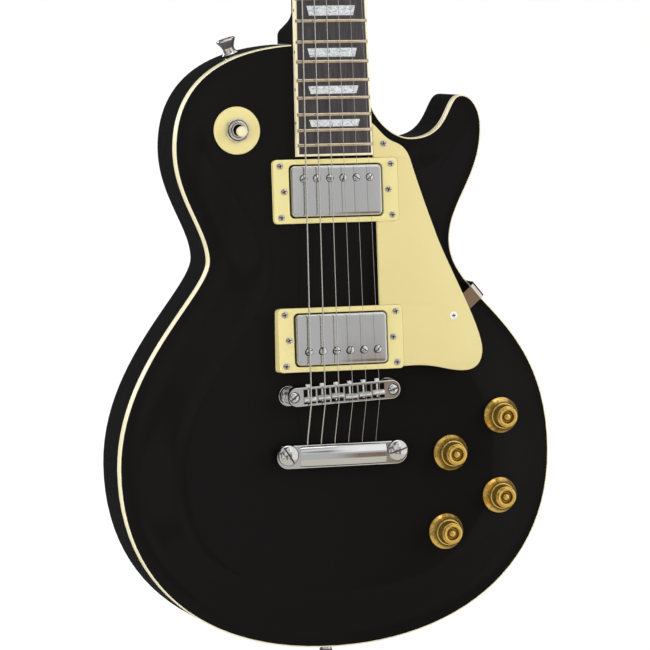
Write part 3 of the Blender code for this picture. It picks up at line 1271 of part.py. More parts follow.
def make_control_plate():
    """The plate under the cavity's ceiling with its four potentiometers."""
    top = CONTROL_CEILING - GAP
    low = top - PLATE_THICKNESS
    outline = cavity_outline(-PLATE_CLEARANCE)
    plate = slab("control_plate", [outline], low, top, BODY, "steel")
    middle = (low + top) / 2
    pots = bmesh.new()
    for x, y in KNOB_PLACES.values():
        profile = [(0, BUSHING_TOP), (BUSHING_RADIUS, BUSHING_TOP), (BUSHING_RADIUS, middle)]
        profile += [(POT_RADIUS, middle), (POT_RADIUS, low - POT_DEPTH), (0, low - POT_DEPTH)]
        turned_shape(pots, profile, 12, (x, y, 0))
    join(plate, mesh_object("potentiometers", pots, BODY))
    bores = [(x, y, SHAFT_RADIUS + RUNNING_CLEARANCE) for x, y in KNOB_PLACES.values()]
    cut(plate, drills("shaft_bores", bores, -HALF_THICKNESS, 2 * CARVED_TOP, BODY, 10))


def make_rear_covers():
    rear = -HALF_THICKNESS
    high = rear + COVER_PLATE_THICKNESS
    slab("control_cover", [cavity_outline(COVER_LEDGE - GAP)], rear, high, BODY, "black_plastic")
    ring = circle(SWITCH_CAVITY_RADIUS + COVER_LEDGE - GAP, COVER_STEPS, *SWITCH_PLACE)
    slab("switch_cover", [ring], rear, high, BODY, "black_plastic")


def switch_frame():
    """On the pitched face where the selector passes through it, square to it."""
    x, height = SWITCH_PLACE
    return NECK @ raised(along_neck(height), x, NECK_TOP)


def make_switch():
    """Selector switch: a threaded bushing through the top, its can below, and a lever on a cross pivot."""
    frame = switch_frame()
    ring_top = GAP + SWITCH_RING_THICKNESS
    nut_low = ring_top + GAP
    nut_top = nut_low + SWITCH_NUT_THICKNESS
    bushing_top = nut_top + SWITCH_BUSHING_RISE
    can_bore, ceiling = SWITCH_CAN_RADIUS - SWITCH_CAN_WALL, SWITCH_CAN_TOP - SWITCH_CAN_WALL
    profile = [(SWITCH_BUSHING_RADIUS, bushing_top), (SWITCH_BUSHING_RADIUS, nut_top)]
    profile += [(SWITCH_NUT_RADIUS, nut_top), (SWITCH_NUT_RADIUS, nut_low), (SWITCH_BUSHING_RADIUS, nut_low)]
    profile += [(SWITCH_BUSHING_RADIUS, SWITCH_CAN_TOP), (SWITCH_CAN_RADIUS, SWITCH_CAN_TOP)]
    profile += [(SWITCH_CAN_RADIUS, SWITCH_CAN_BOTTOM), (can_bore, SWITCH_CAN_BOTTOM), (can_bore, ceiling)]
    profile += [(SWITCH_BORE_RADIUS, ceiling), (SWITCH_BORE_RADIUS, bushing_top)]
    turned("switch_body", profile, 16, frame, "nickel")
    hole = SWITCH_BUSHING_RADIUS + GAP
    ring = [(SWITCH_RING_RADIUS, ring_top), (SWITCH_RING_RADIUS, GAP), (hole, GAP), (hole, ring_top)]
    turned("switch_ring", ring, 32, frame, "cream_plastic")
    lever = dome(LEVER_TIP_RADIUS, LEVER_TOP, LEVER_TIP_ROUND, 2)
    lever += [(LEVER_TIP_RADIUS, LEVER_TIP_BASE + LEVER_TIP_TAPER), (LEVER_TIP_NECK, LEVER_TIP_BASE)]
    lever += [(LEVER_RADIUS, LEVER_TIP_BASE), (LEVER_RADIUS, LEVER_END), (0, LEVER_END)]
    above = [(radius, z - SWITCH_PIVOT) for radius, z in lever]
    turned("switch_lever", above, 12, frame @ raised(0, 0, SWITCH_PIVOT), "binding_cream")


def jack_frame():
    """At the widest point of the treble rim, with z pointing straight out of it."""
    at = BODY @ Vector((LOWER_BOUT_SHIFT + LOWER_BOUT_HALF, LOWER_BOUT_HEIGHT, 0))
    return Matrix.Translation(at) @ Matrix.Rotation(pi / 2, 4, "Y")


def make_output_jack():
    half = JACK_PLATE_SIZE / 2
    face = GAP + JACK_PLATE_THICKNESS
    plate = slab("output_jack", [rectangle(half, half, JACK_PLATE_ROUND)], GAP, face, jack_frame(), "chrome")
    rise = face + JACK_SLEEVE_RISE
    sleeve = drills("jack_sleeve", [(0, 0, JACK_SLEEVE_RADIUS)], rise - JACK_LENGTH, rise, jack_frame())
    bore = drills("jack_bore", [(0, 0, JACK_BORE_RADIUS)], -2 * JACK_LENGTH, JACK_LENGTH, jack_frame())
    join(plate, sleeve)
    cut(plate, bore)


# ---------------------------------------------------------------- strap buttons


def end_button_frame():
    """On the lowest point of the rim, with z pointing down and out of it."""
    return Matrix.Translation((0, 0, BODY_BOTTOM)) @ Matrix.Rotation(pi, 4, "X")


def upper_button_frame():
    """On the bass shoulder's rim, square to it."""
    shoulder = Vector((-UPPER_BUTTON_ACROSS, JOIN_HEIGHT))
    k = min(range(1, len(EDGE) - 1), key=lambda n: (EDGE[n] - shoulder).length)
    here, along = EDGE[k], (EDGE[k - 1] - EDGE[k + 1]).normalized()
    outward = Vector((-along.y, along.x))
    frame = Matrix.Rotation(atan2(outward.y, outward.x), 4, "Z") @ Matrix.Rotation(pi / 2, 4, "Y")
    return BODY @ Matrix.Translation((here.x, here.y, 0)) @ frame


def make_strap_buttons():
    height = BODY_BOTTOM
    base = 2 * GAP
    rim = height - BUTTON_HEAD_EDGE
    under = rim - BUTTON_HEAD_EDGE
    profile = [(0, height), (BUTTON_FACE_RADIUS, height), (BUTTON_HEAD_RADIUS, rim)]
    profile += [(BUTTON_HEAD_RADIUS, under)]
    profile += [(BUTTON_WAIST_RADIUS, under - BUTTON_HEAD_SLOPE), (BUTTON_WAIST_RADIUS, base + BUTTON_FOOT)]
    profile += [(BUTTON_BASE_RADIUS, base), (BUTTON_SHANK_RADIUS, base)]
    profile += [(BUTTON_SHANK_RADIUS, -BUTTON_SHANK_LENGTH), (0, -BUTTON_SHANK_LENGTH)]
    turned("strap_button_end", profile, 16, end_button_frame(), "chrome")
    turned("strap_button_upper", profile, 16, upper_button_frame(), "chrome")


# ---------------------------------------------------------------- tuners and strings


def tuners():
    """Each string's tuner as (number, x, y) in the headstock's frame, the outer strings' nearest the nut."""
    places = []
    for number in range(1, STRING_COUNT + 1):
        treble = number <= TUNERS_A_SIDE
        step = number - 1 if treble else STRING_COUNT - number
        x = TUNER_ACROSS + TUNER_SPLAY * step
        places.append((number, x if treble else -x, FIRST_TUNER + TUNER_SPACING * step))
    return places


def make_tuner_plates():
    """One plate behind each side of the headstock, with two lugs for every worm."""
    back = -HEAD_THICKNESS - GAP
    low = back - TUNER_PLATE_THICKNESS
    first = FIRST_TUNER - WORM_OFFSET - LUG_WIDTH / 2 - TUNER_PLATE_MARGIN
    last = FIRST_TUNER + TUNER_SPACING * (TUNERS_A_SIDE - 1) + GEAR_RADIUS + TUNER_PLATE_MARGIN
    half_length = (last - first) / 2
    reach = TUNER_PLATE_WIDTH / 2
    lie = Matrix.Rotation(pi / 2, 4, "Y")
    axis = worm_level()
    for name, side in (("treble", 1), ("bass", -1)):
        mine = [(x, y) for _, x, y in tuners() if x * side > 0]
        middle = side * WORM_MIDDLE
        outline = rectangle(reach, half_length, TUNER_PLATE_ROUND, middle, first + half_length, 2)
        plate = slab(f"tuner_plate_{name}", [outline], low, back, HEAD, "nickel")
        lugs, bores = bmesh.new(), bmesh.new()
        for _, y in mine:
            worm_y = y - WORM_OFFSET
            for x in (middle - reach + LUG_INSET, middle + reach - LUG_INSET - LUG_THICKNESS):
                near = (x, worm_y - LUG_WIDTH / 2, axis - LUG_WIDTH / 2)
                box_shape(lugs, near, (x + LUG_THICKNESS, worm_y + LUG_WIDTH / 2, (low + back) / 2))
            radius = WORM_SHAFT_RADIUS + RUNNING_CLEARANCE
            run = [(0, 2 * reach), (radius, 2 * reach), (radius, -2 * reach), (0, -2 * reach)]
            turned_shape(bores, run, 10, (middle, worm_y, axis), lie)
        join(plate, mesh_object(f"tuner_lugs_{name}", lugs, HEAD))
        holes = [(x, y, TUNER_HOLE_RADIUS) for x, y in mine]
        cut(plate, drills(f"tuner_plate_holes_{name}", holes, 2 * low, 0, HEAD, 12))
        cut(plate, mesh_object(f"worm_bores_{name}", bores, HEAD))


def worm_level():
    """How far behind the headstock's face the worms and gears lie."""
    return -HEAD_THICKNESS - GAP - TUNER_PLATE_THICKNESS - GAP - WORM_RADIUS


def make_tuners():
    gear_top, gear_low = worm_level() + GEAR_THICKNESS / 2, worm_level() - GEAR_THICKNESS / 2
    post = [(0, POST_RISE), (POST_RADIUS - POST_EDGE, POST_RISE), (POST_RADIUS, POST_RISE - POST_EDGE)]
    post += [(POST_RADIUS, gear_top), (GEAR_RADIUS, gear_top), (GEAR_RADIUS, gear_low), (0, gear_low)]
    for number, x, y in tuners():
        turned(f"tuner_post_{number}", post, 12, HEAD @ raised(y, x), "nickel")
        make_tuner_button(number, 1 if x > 0 else -1, y)


def make_tuner_button(number, side, y):
    """A worm, its shaft and the flattened button that turns it, about an axis across the headstock."""
    worm = TUNER_PLATE_WIDTH / 2 - LUG_INSET - LUG_THICKNESS - GAP
    inner = TUNER_PLATE_WIDTH / 2 + GAP
    button = head_half(y) + TUNER_BUTTON_GAP - WORM_MIDDLE
    tip = button + TUNER_BUTTON_LENGTH
    root = button + TUNER_BUTTON_ROOT
    profile = [(0, root), (WORM_SHAFT_RADIUS, root), (WORM_SHAFT_RADIUS, worm)]
    profile += [(WORM_RADIUS, worm), (WORM_RADIUS, -worm), (WORM_SHAFT_RADIUS, -worm)]
    profile += [(WORM_SHAFT_RADIUS, -inner), (0, -inner)]
    lie = Matrix.Rotation(side * pi / 2, 4, "Y")
    frame = HEAD @ raised(y - WORM_OFFSET, side * WORM_MIDDLE, worm_level()) @ lie
    shaft = turned(f"tuner_button_{number}", profile, 10, frame, "nickel")
    oval = dome(TUNER_BUTTON_RADIUS, tip, TUNER_BUTTON_LENGTH / 2, 4)
    oval += [(TUNER_BUTTON_NECK, button), (0, button)]
    bm = bmesh.new()
    turned_shape(bm, oval, 14, (0, 0, 0), Matrix.Diagonal((TUNER_BUTTON_FLATNESS, 1, 1, 1)))
    join(shaft, mesh_object(f"tuner_button_oval_{number}", bm, frame))


def string_route(number, radius):
    """A string's way from its ball in the tailpiece, over saddle and nut, to the turns on its post."""
    x = string_across(number, -SCALE_LENGTH)
    tail = TAIL_LINE - TAIL_WIDTH / 2
    ball_end = tail + BALL_SEAT_DEPTH - GAP - BALL_LENGTH
    ends = (ball_end, ball_end + BALL_LENGTH, ball_end + BALL_LENGTH + BALL_TAPER, TAIL_LINE + TAIL_WIDTH / 2)
    route = [BODY @ Vector((x, y, STRING_HOLE_LEVEL)) for y in ends]
    sx, sy = saddle_place(number)
    route.append(BRIDGE @ Vector((sx, sy, saddle_top(sx) + STRING_CLEARANCE + radius)))
    across = string_across(number, 0)
    level = NUT_SLOT_FLOOR - across * across / (2 * BOARD_RADIUS) + STRING_CLEARANCE + radius
    route += [NECK @ Vector((across, y, level)) for y in (0, NUT_LENGTH)]
    _, px, py = tuners()[number - 1]
    turn = 1 if px < 0 else -1
    wrap = (POST_RADIUS + STRING_CLEARANCE) / cos(pi / WRAP_STEPS) + radius
    for k in range(WRAP_STEPS * WRAPS + 1):
        angle = (0 if turn > 0 else pi) + turn * 2 * pi * k / WRAP_STEPS
        drop = (2 * radius + WRAP_GAP) * k / WRAP_STEPS
        level = WRAP_START + radius - drop
        route.append(HEAD @ Vector((px + wrap * cos(angle), py + wrap * sin(angle), level)))
    return route


def make_strings():
    for number, radius in enumerate(STRING_RADII, 1):
        data = bpy.data.curves.new(f"string_{number}", "CURVE")
        data.dimensions = "3D"
        data.bevel_depth = radius
        data.bevel_resolution = 1
        data.use_fill_caps = True
        route = string_route(number, radius)
        spline = data.splines.new("POLY")
        spline.points.add(len(route) - 1)
        for point, place in zip(spline.points, route):
            point.co = (*place, 1)
        for point in spline.points[:2]:
            point.radius = BALL_RADIUS / radius
        string = bpy.data.objects.new(f"string_{number}", data)
        PARTS.objects.link(string)
        finish(string, "nickel" if number > TUNERS_A_SIDE else "steel")


def make_guitar():
    back, top = make_body_back(), make_body_top()
    make_binding()
    cut_body(back, top)
    make_neck()
    make_truss_rod()
    make_fretboard()
    make_nut()
    make_bridge()
    make_tailpiece()
    make_pickup("neck", NECK_PICKUP_HEIGHT, NECK_COVER_TOP, NECK_POLE_PITCH, NECK_POLE_SIDE)
    make_pickup("bridge", BRIDGE_PICKUP_HEIGHT, BRIDGE_COVER_TOP, BRIDGE_POLE_PITCH, BRIDGE_POLE_SIDE)
    make_pickguard()
    make_bracket()
    make_knobs()
    make_control_plate()
    make_rear_covers()
    make_switch()
    make_output_jack()
    make_strap_buttons()
    make_tuner_plates()
    make_tuners()
    make_strings()


make_guitar()
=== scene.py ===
"""The looks of a carved-top electric guitar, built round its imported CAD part.

Shapes are drawn in millimetres in local frames: x across the guitar, y up it, z out of its face.
"""

import json
from math import acos, atan2, cos, hypot, pi, radians, sin, tan

import bmesh
import bpy
import numpy as np
from mathutils import Matrix, Vector
from mathutils.geometry import delaunay_2d_cdt, interpolate_bezier, tessellate_polygon


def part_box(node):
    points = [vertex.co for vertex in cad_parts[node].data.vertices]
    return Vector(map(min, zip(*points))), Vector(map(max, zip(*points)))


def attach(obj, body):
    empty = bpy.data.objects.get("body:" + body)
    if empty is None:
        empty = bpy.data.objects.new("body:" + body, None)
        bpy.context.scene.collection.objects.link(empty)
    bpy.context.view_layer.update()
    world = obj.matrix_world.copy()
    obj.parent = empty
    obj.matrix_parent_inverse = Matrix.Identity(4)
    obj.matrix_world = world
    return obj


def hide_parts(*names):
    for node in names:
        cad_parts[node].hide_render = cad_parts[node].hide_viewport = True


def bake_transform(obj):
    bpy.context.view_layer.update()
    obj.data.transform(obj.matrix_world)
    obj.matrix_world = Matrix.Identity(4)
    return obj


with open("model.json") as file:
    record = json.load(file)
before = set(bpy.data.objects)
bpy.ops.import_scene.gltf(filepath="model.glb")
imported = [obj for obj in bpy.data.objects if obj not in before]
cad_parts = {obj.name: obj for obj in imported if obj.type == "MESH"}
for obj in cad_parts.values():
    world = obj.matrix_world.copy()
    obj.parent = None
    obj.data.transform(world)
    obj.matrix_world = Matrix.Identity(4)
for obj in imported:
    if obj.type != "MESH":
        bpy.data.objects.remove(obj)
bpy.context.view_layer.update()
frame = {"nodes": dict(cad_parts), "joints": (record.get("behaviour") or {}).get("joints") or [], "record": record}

MM = 0.001
NODES = frame["nodes"]
JOINTS = {j["name"]: j for j in frame["joints"]}

# The guitar's main sizes, in millimetres, as its CAD has them
SCALE = 628.65  # from the nut to where the strings end
FRETS = 22
PITCH = radians(4)  # the neck's lean from the body's face
SLANT = radians(2.25)  # the bridge's, across the strings
NUT_WIDTH, END_WIDTH = 43.0, 56.9
NUT_LENGTH = 5.0
BOARD_LENGTH = SCALE * (1 - 2 ** (-FRETS / 12)) + 7.8
BOARD_RADIUS = 305.0
BOARD_DEPTH = 6.0
BOARD_BAND = 1.5  # the width of the binding beside the board
ROD_DEPTH = 14.3  # the truss rod's, below the board's crown
HEAD_LENGTH, HEAD_HALF, HEAD_CORNER, HEAD_FLARE, HEAD_DEPTH = 179, 42.5, 16, 38, 15
FIRST_POST = (24, 40)  # the first tuner's place on the headstock
JOIN = 445.0  # where the body ends at the neck
POCKET = 28.5  # half the width of the neck's place in it
TREBLE_SIDE = 165  # the lower bout's, from the strings' middle
RIM = 25.0  # half the body's thickness at its rim
SEAM = 17.6  # the binding's lower edge
BAND = 0.85  # the binding's width on the face
CREST = 35.0  # the carved top's highest level
NECK_TOP = -6.3  # the carved top under the neck pickup, in the neck's frame
RING_X, RING_Y, RING_CORNER = 46.5, 22.7, 3  # half sizes of a pickup ring
POST_REACH, STUD_REACH = 37, 41  # from the middle to a bridge post and to a tailpiece stud
HOLE_LEVEL = 3.7  # of the strings' holes in the tailpiece
STRING_RADII = [0.127, 0.165, 0.216, 0.33, 0.457, 0.584]


# ------------------------------------------------------------ frames, read from the joints


def frame_of(origin, y, z):
    x = y.cross(z)
    made = Matrix((x, y, z)).transposed().to_4x4()
    made.translation = origin
    return made


def place(joint):
    return Vector(JOINTS[joint]["pos_m"])


def axis(joint):
    return Vector(JOINTS[joint]["axis"]).normalized()


def local(matrix, x=0.0, y=0.0, z=0.0):
    """The same frame with its origin moved, in millimetres."""
    return matrix @ Matrix.Translation(Vector((x, y, z)) * MM)


OUT = Vector((0, -1, 0))
UP = Vector((0, 0, 1))
BODY = frame_of(Vector(), UP, OUT)
neck_up = axis("truss_rod_turn")
neck_out = Vector((1, 0, 0)).cross(neck_up)
NECK = local(frame_of(place("truss_rod_turn"), neck_up, neck_out), 0, -NUT_LENGTH, ROD_DEPTH)
head_out = axis("tuner_1_post_turn")
head_up = head_out.cross(Vector((1, 0, 0)))
HEAD = local(frame_of(place("tuner_1_post_turn"), head_up, head_out), -FIRST_POST[0], -FIRST_POST[1])
posts = [place(f"bridge_post_{side}_turn") for side in ("bass", "treble")]
BRIDGE = frame_of(sum(posts, Vector()) / 2, OUT.cross(posts[1] - posts[0]).normalized(), OUT)
studs = [place(f"tailpiece_stud_{side}_turn") for side in ("bass", "treble")]
TAIL = frame_of(sum(studs, Vector()) / 2, UP, OUT)
SWITCH_LIFT = 4.2  # from the lever's hinge to the face
SWITCH = local(frame_of(place("switch_lever_tilt"), neck_up, neck_out), 0, 0, SWITCH_LIFT)
NUT_HEIGHT = NECK.translation.z / MM


def along_neck(height):
    return (height - NUT_HEIGHT) / cos(PITCH)


# ------------------------------------------------------------ materials


class Nodes:
    """Makes and links the nodes of one tree."""

    def __init__(self, tree):
        self.tree = tree

    def node(self, kind, links=(), **values):
        made = self.tree.nodes.new("ShaderNode" + kind)
        for key, value in values.items():
            if hasattr(made, key):
                setattr(made, key, value)
            else:
                made.inputs[key.replace("_", " ")].default_value = value
        for socket, source in dict(links).items():
            self.tree.links.new(source, made.inputs[socket])
        return made


class Paint(Nodes):
    """A Principled material whose colour, roughness and bump come from procedural nodes."""

    def __init__(self, name, colour, roughness, metallic=0.0, **sockets):
        self.material = bpy.data.materials.new(name)
        self.material.use_nodes = True
        super().__init__(self.material.node_tree)
        self.shader = self.tree.nodes["Principled BSDF"]
        self.set("Base Color", (*colour, 1))
        self.set("Roughness", roughness)
        self.set("Metallic", metallic)
        for key, value in sockets.items():
            self.set(key.replace("_", " "), value)
        self.heights = []

    def set(self, socket, value):
        self.shader.inputs[socket].default_value = value

    def coordinates(self, stretch=(1, 1, 1), source="Object"):
        where = self.node("TexCoord").outputs[source]
        return self.node("Mapping", {"Vector": where}, Scale=stretch).outputs["Vector"]

    def noise(self, scale, stretch=(1, 1, 1), detail=4.0, distortion=0.0, roughness=0.55):
        where = {"Vector": self.coordinates(stretch)}
        sockets = {"Scale": scale, "Detail": detail, "Distortion": distortion, "Roughness": roughness}
        return self.node("TexNoise", where, **sockets).outputs["Fac"]

    def ramp(self, value, stops):
        made = self.node("ValToRGB", {"Fac": value})
        bar = made.color_ramp
        while len(bar.elements) < len(stops):
            bar.elements.new(0.5)
        for element, (at, colour) in zip(bar.elements, stops):
            element.position = at
            element.color = (*colour, 1) if hasattr(colour, "__len__") else (colour, colour, colour, 1)
        return made.outputs["Color"]

    def feed(self, socket, source):
        self.tree.links.new(source, self.shader.inputs[socket])
        return self

    def varied(self, scale, low, high, stretch=(1, 1, 1), spread=(0.35, 0.65), **kw):
        """Noise that runs between two values."""
        return self.ramp(self.noise(scale, stretch, **kw), [(spread[0], low), (spread[1], high)])

    def vary_colour(self, *values, **kw):
        return self.feed("Base Color", self.varied(*values, **kw))

    def vary_roughness(self, *values, **kw):
        return self.feed("Roughness", self.varied(*values, **kw))

    def bump(self, height, distance, strength=1.0):
        """Adds a layer of bump over those before it."""
        made = self.node("Bump", {"Height": height}, Distance=distance * MM, Strength=strength)
        if self.heights:
            self.tree.links.new(self.heights[-1].outputs["Normal"], made.inputs["Normal"])
        self.heights.append(made)
        return self.feed("Normal", made.outputs["Normal"])


def lacquer(name, base, gloss):
    made = Paint(name, base, 0.06, Specular_IOR_Level=gloss)
    made.vary_roughness(26, 0.045, 0.085, detail=6)
    return made.bump(made.noise(420, detail=1), 0.012, 0.12).bump(made.noise(34, detail=2), 0.05, 0.1)


def cream(name, low, high, roughness=(0.275, 0.278)):
    made = Paint(name, high, roughness[0], Specular_IOR_Level=0.5)
    made.set("Subsurface Weight", 0.04)
    made.set("Subsurface Radius", (0.004, 0.003, 0.0015))
    made.vary_colour(6, low, high, spread=(0.3, 0.7), detail=0)
    made.vary_roughness(40, *roughness, detail=1)
    return made.bump(made.noise(900, detail=2), 0.006, 0.25)


def plated(name, colour, roughness, scratch=0.25, scale=700, metallic=1.0):
    made = Paint(name, colour, roughness[0], metallic)
    made.vary_roughness(45, *roughness, detail=7, distortion=0.5)
    return made.bump(made.noise(scale, (1, 9, 1), detail=3), 0.004, scratch)


LACQUER = lacquer("black_lacquer", (0.0095, 0.0089, 0.0087), 0.14)
TOP_LACQUER = lacquer("black_lacquer_top", (0.0088, 0.0081, 0.0079), 0.035)
BINDING = cream("aged_binding", (0.92, 0.83, 0.56), (0.96, 0.89, 0.62))
CREAM = cream("cream_plastic", (0.775, 0.662, 0.296), (0.79, 0.676, 0.308))
RING_CREAM = cream("cream_ring_plastic", (0.835, 0.725, 0.32), (0.855, 0.75, 0.345))
TIP_CREAM = cream("cream_tip", (0.88, 0.78, 0.46), (0.95, 0.89, 0.66), (0.12, 0.2))
CHROME = plated("chrome_plate", (0.60, 0.605, 0.61), (0.045, 0.1), 0.12)
COVER_CHROME = plated("pickup_cover_nickel", (0.60, 0.605, 0.60), (0.07, 0.13), 0.2, 420)
NICKEL = plated("nickel_plate", (0.60, 0.57, 0.52), (0.14, 0.26))
WARM_NICKEL = plated("warm_nickel_plate", (0.64, 0.585, 0.53), (0.06, 0.12))
GUARD_SCREW = plated("guard_screw_nickel", (0.95, 0.94, 0.93), (0.3, 0.4), metallic=0.2)
STRAP_NICKEL = plated("strap_button_nickel", (0.70, 0.66, 0.64), (0.08, 0.14), metallic=0.82)
SADDLE_NICKEL = plated("saddle_nickel", (0.84, 0.82, 0.80), (0.14, 0.24), metallic=0.45)
SCREW = plated("screw_nickel", (0.56, 0.54, 0.52), (0.14, 0.24))
STEEL = plated("plain_steel", (0.60, 0.60, 0.59), (0.16, 0.24))
FRET = plated("fret_nickel_silver", (0.58, 0.49, 0.36), (0.16, 0.28), 0.4, 500)
GOLD = Paint("gold_under_clear_plastic", (0.76, 0.48, 0.10), 0.2, 0.85, Coat_Weight=0.6, Coat_Roughness=0.12)
GOLD.vary_colour(45, (0.74, 0.47, 0.09), (0.80, 0.52, 0.12), detail=3).vary_roughness(60, 0.2, 0.26)
# Painted shade: a darker gold for the knobs' groove round the dimple.
GOLD_PAINTED_SHADE = Paint("gold_in_shade", (0.42, 0.27, 0.05), 0.3, 0.8)
GOLD_PAINTED_SHADE.vary_roughness(60, 0.28, 0.34)
# Painted shade: a near-black finish for faces down in recesses and gaps, where shade falls.
RECESS_SHADE = Paint("recess_shade", (0.012, 0.011, 0.01), 0.6)
RECESS_SHADE.vary_roughness(400, 0.5, 0.7)
# Painted shade: a dark grey for the slots cut in post and stud heads.
SLOT_SHADE = Paint("slot_shade", (0.16, 0.155, 0.15), 0.4, 0.5)
SLOT_SHADE.vary_roughness(400, 0.35, 0.5)
DARK_SCREW = plated("ring_screw_nickel", (0.60, 0.55, 0.51), (0.1, 0.2))
PRINT = Paint("dial_print", (0.30, 0.18, 0.07), 0.4, 0.4)
PRINT.vary_roughness(500, 0.4, 0.6)
BONE = cream("polished_bone", (0.74, 0.68, 0.52), (0.85, 0.80, 0.66))
BLACK = Paint("matte_black_plastic", (0.016, 0.016, 0.016), 0.45)
BLACK.vary_roughness(80, 0.35, 0.55, detail=6).bump(BLACK.noise(1400, detail=2), 0.03, 0.5)
FELT = Paint("bobbin_black", (0.02, 0.02, 0.02), 0.6)
FELT.vary_roughness(200, 0.5, 0.7)


def rosewood():
    made = Paint("oiled_rosewood", (0.04, 0.026, 0.022), 0.4, Specular_IOR_Level=0.45)
    grain = made.noise(40, (14, 0.9, 3), detail=8, distortion=0.7, roughness=0.65)
    tones = [(0.3, (0.020, 0.017, 0.019)), (0.5, (0.040, 0.034, 0.037)), (0.72, (0.076, 0.062, 0.062))]
    made.feed("Base Color", made.ramp(grain, tones))
    pores = made.ramp(made.noise(170, (9, 0.6, 3), detail=5), [(0.36, 0.0), (0.46, 1.0)])
    made.vary_roughness(120, 0.28, 0.46, (8, 0.8, 2))
    return made.bump(pores, 0.05, 0.5)


def pearl():
    made = Paint("pearloid", (0.7, 0.72, 0.72), 0.16, Coat_Weight=0.6, Coat_Roughness=0.05)
    where = made.coordinates((1, 1.6, 1))
    swirl = made.node("TexNoise", {"Vector": where}, Scale=130.0, Detail=3.0, Distortion=2.2)
    cells = made.node("TexVoronoi", {"Vector": swirl.outputs["Color"]}, Scale=9.0)
    tones = [(0.05, (0.30, 0.32, 0.34)), (0.45, (0.62, 0.65, 0.67)), (0.9, (0.93, 0.95, 0.95))]
    made.feed("Base Color", made.ramp(cells.outputs["Color"], tones))
    made.set("Metallic", 0.25)
    return made


def wound(name, colour, pitch):
    """A string wrapped in round wire: the wraps are a wave along the tube's UV."""
    made = Paint(name, colour, 0.28, 1.0)
    made.vary_roughness(300, 0.22, 0.36)
    where = made.coordinates(source="UV")
    wraps = made.node("TexWave", {"Vector": where}, Scale=1 / pitch, bands_direction="X")
    return made.bump(wraps.outputs["Fac"], 0.03, 0.35)


ROSEWOOD = rosewood()
PEARL = pearl()
PLAIN_STRING = plated("plain_string", (0.62, 0.61, 0.58), (0.16, 0.26))
WOUND_STRING = wound("wound_string", (0.66, 0.64, 0.58), 0.28)


# ------------------------------------------------------------ shape helpers, in millimetres


class Shape:
    """Vertices and faces in the making: flat faces aren't shaded smooth, dark ones get a second finish, which is
    painted shade.
    """

    def __init__(self):
        self.verts, self.faces, self.uv = [], [], None
        self.flat, self.dark, self.carved = set(), set(), False

    def ring(self, points):
        start = len(self.verts)
        self.verts += [Vector(p).to_3d() for p in points]
        return list(range(start, len(self.verts)))

    def skin(self, rings, closed=True):
        """Quads between rings, which have as many points each, or one point at a pole."""
        for low, high in zip(rings, rings[1:]):
            count = max(len(low), len(high))
            for k in range(count if closed else count - 1):
                j = (k + 1) % count
                corners = [low[k % len(low)], low[j % len(low)], high[j % len(high)], high[k % len(high)]]
                face = [c for n, c in enumerate(corners) if c != corners[n - 1]]
                if len(face) > 2:
                    self.faces.append(tuple(face))
        return self

    def cap(self, *rings):
        """A flat lid over the first ring, with the others as holes in it."""
        names = [i for ring in rings for i in ring]
        for tri in tessellate_polygon([[self.verts[i] for i in ring] for ring in rings]):
            self.flat.add(len(self.faces))
            self.faces.append(tuple(names[i] for i in tri))
        return self

    def loft(self, rings):
        """A skin over rings, with a lid at each end."""
        return self.skin(rings).cap(rings[0]).cap(rings[-1])

    def add(self, other, matrix=None):
        start, first = len(self.verts), len(self.faces)
        self.verts += [matrix @ v if matrix else v.copy() for v in other.verts]
        self.faces += [tuple(start + i for i in face) for face in other.faces]
        self.flat |= {first + i for i in other.flat}
        self.dark |= {first + i for i in other.dark}
        self.carved |= other.carved
        return self


def shifted(x=0.0, y=0.0, z=0.0, turn=0.0, about="Z"):
    return Matrix.Translation((x, y, z)) @ Matrix.Rotation(turn, 4, about)


def soften(points, radius, steps=3, closed=False):
    """A line whose corners are replaced by arcs, smaller where the sides are short."""
    points = [Vector(p) for p in points]
    made = []
    for k, here in enumerate(points):
        if not closed and k in (0, len(points) - 1):
            made.append(here)
            continue
        back, on = points[k - 1] - here, points[(k + 1) % len(points)] - here
        limit = 0.48 * min(back.length, on.length)
        back, on = back.normalized(), on.normalized()
        half = acos(max(-1.0, min(1.0, back.dot(on)))) / 2
        if half > radians(84) or limit < 1e-4:
            made.append(here)
            continue
        size = min(radius, limit * tan(half))
        middle = here + (back + on).normalized() * size / sin(half)
        start, end = here + back * size / tan(half) - middle, here + on * size / tan(half) - middle
        first = atan2(start.y, start.x)
        turn = (atan2(end.y, end.x) - first + pi) % (2 * pi) - pi
        for step in range(steps + 1):
            angle = first + turn * step / steps
            made.append(Vector((middle.x + size * cos(angle), middle.y + size * sin(angle))))
    return made


def offset(points, distance, closed=True):
    """A line moved to its left as it runs."""
    count, made = len(points), []
    for k, point in enumerate(points):
        before = (point - points[k - 1]).normalized() if closed or k else None
        after = (points[(k + 1) % count] - point).normalized() if closed or k + 1 < count else None
        before, after = before or after, after or before
        a, b = Vector((-before.y, before.x)), Vector((-after.y, after.x))
        made.append(point + (a + b) * distance / max(0.3, 1 + a.dot(b)))
    return made


def rectangle(half_x, half_y, radius, steps=6):
    corners = [(-half_x, -half_y), (half_x, -half_y), (half_x, half_y), (-half_x, half_y)]
    return soften(corners, radius, steps, True) if radius else corners


def polar(radius, angle):
    return radius * cos(angle), radius * sin(angle)


def quarter(steps):
    """Angles from nothing to a right angle."""
    return [pi / 2 * k / steps for k in range(steps + 1)]


def circle(radius, steps=48, x=0.0, y=0.0):
    turns = [2 * pi * k / steps for k in range(steps)]
    return [Vector((x + radius * cos(t), y + radius * sin(t))) for t in turns]


def edge_rounding(radius, level, way, steps=4):
    """Rows of (inset, z) round an edge: way 1 ends at the top, way -1 starts at the bottom."""
    rows = [(radius * (1 - cos(a)), level - way * radius * (1 - sin(a))) for a in quarter(steps)]
    return rows if way > 0 else rows[::-1]


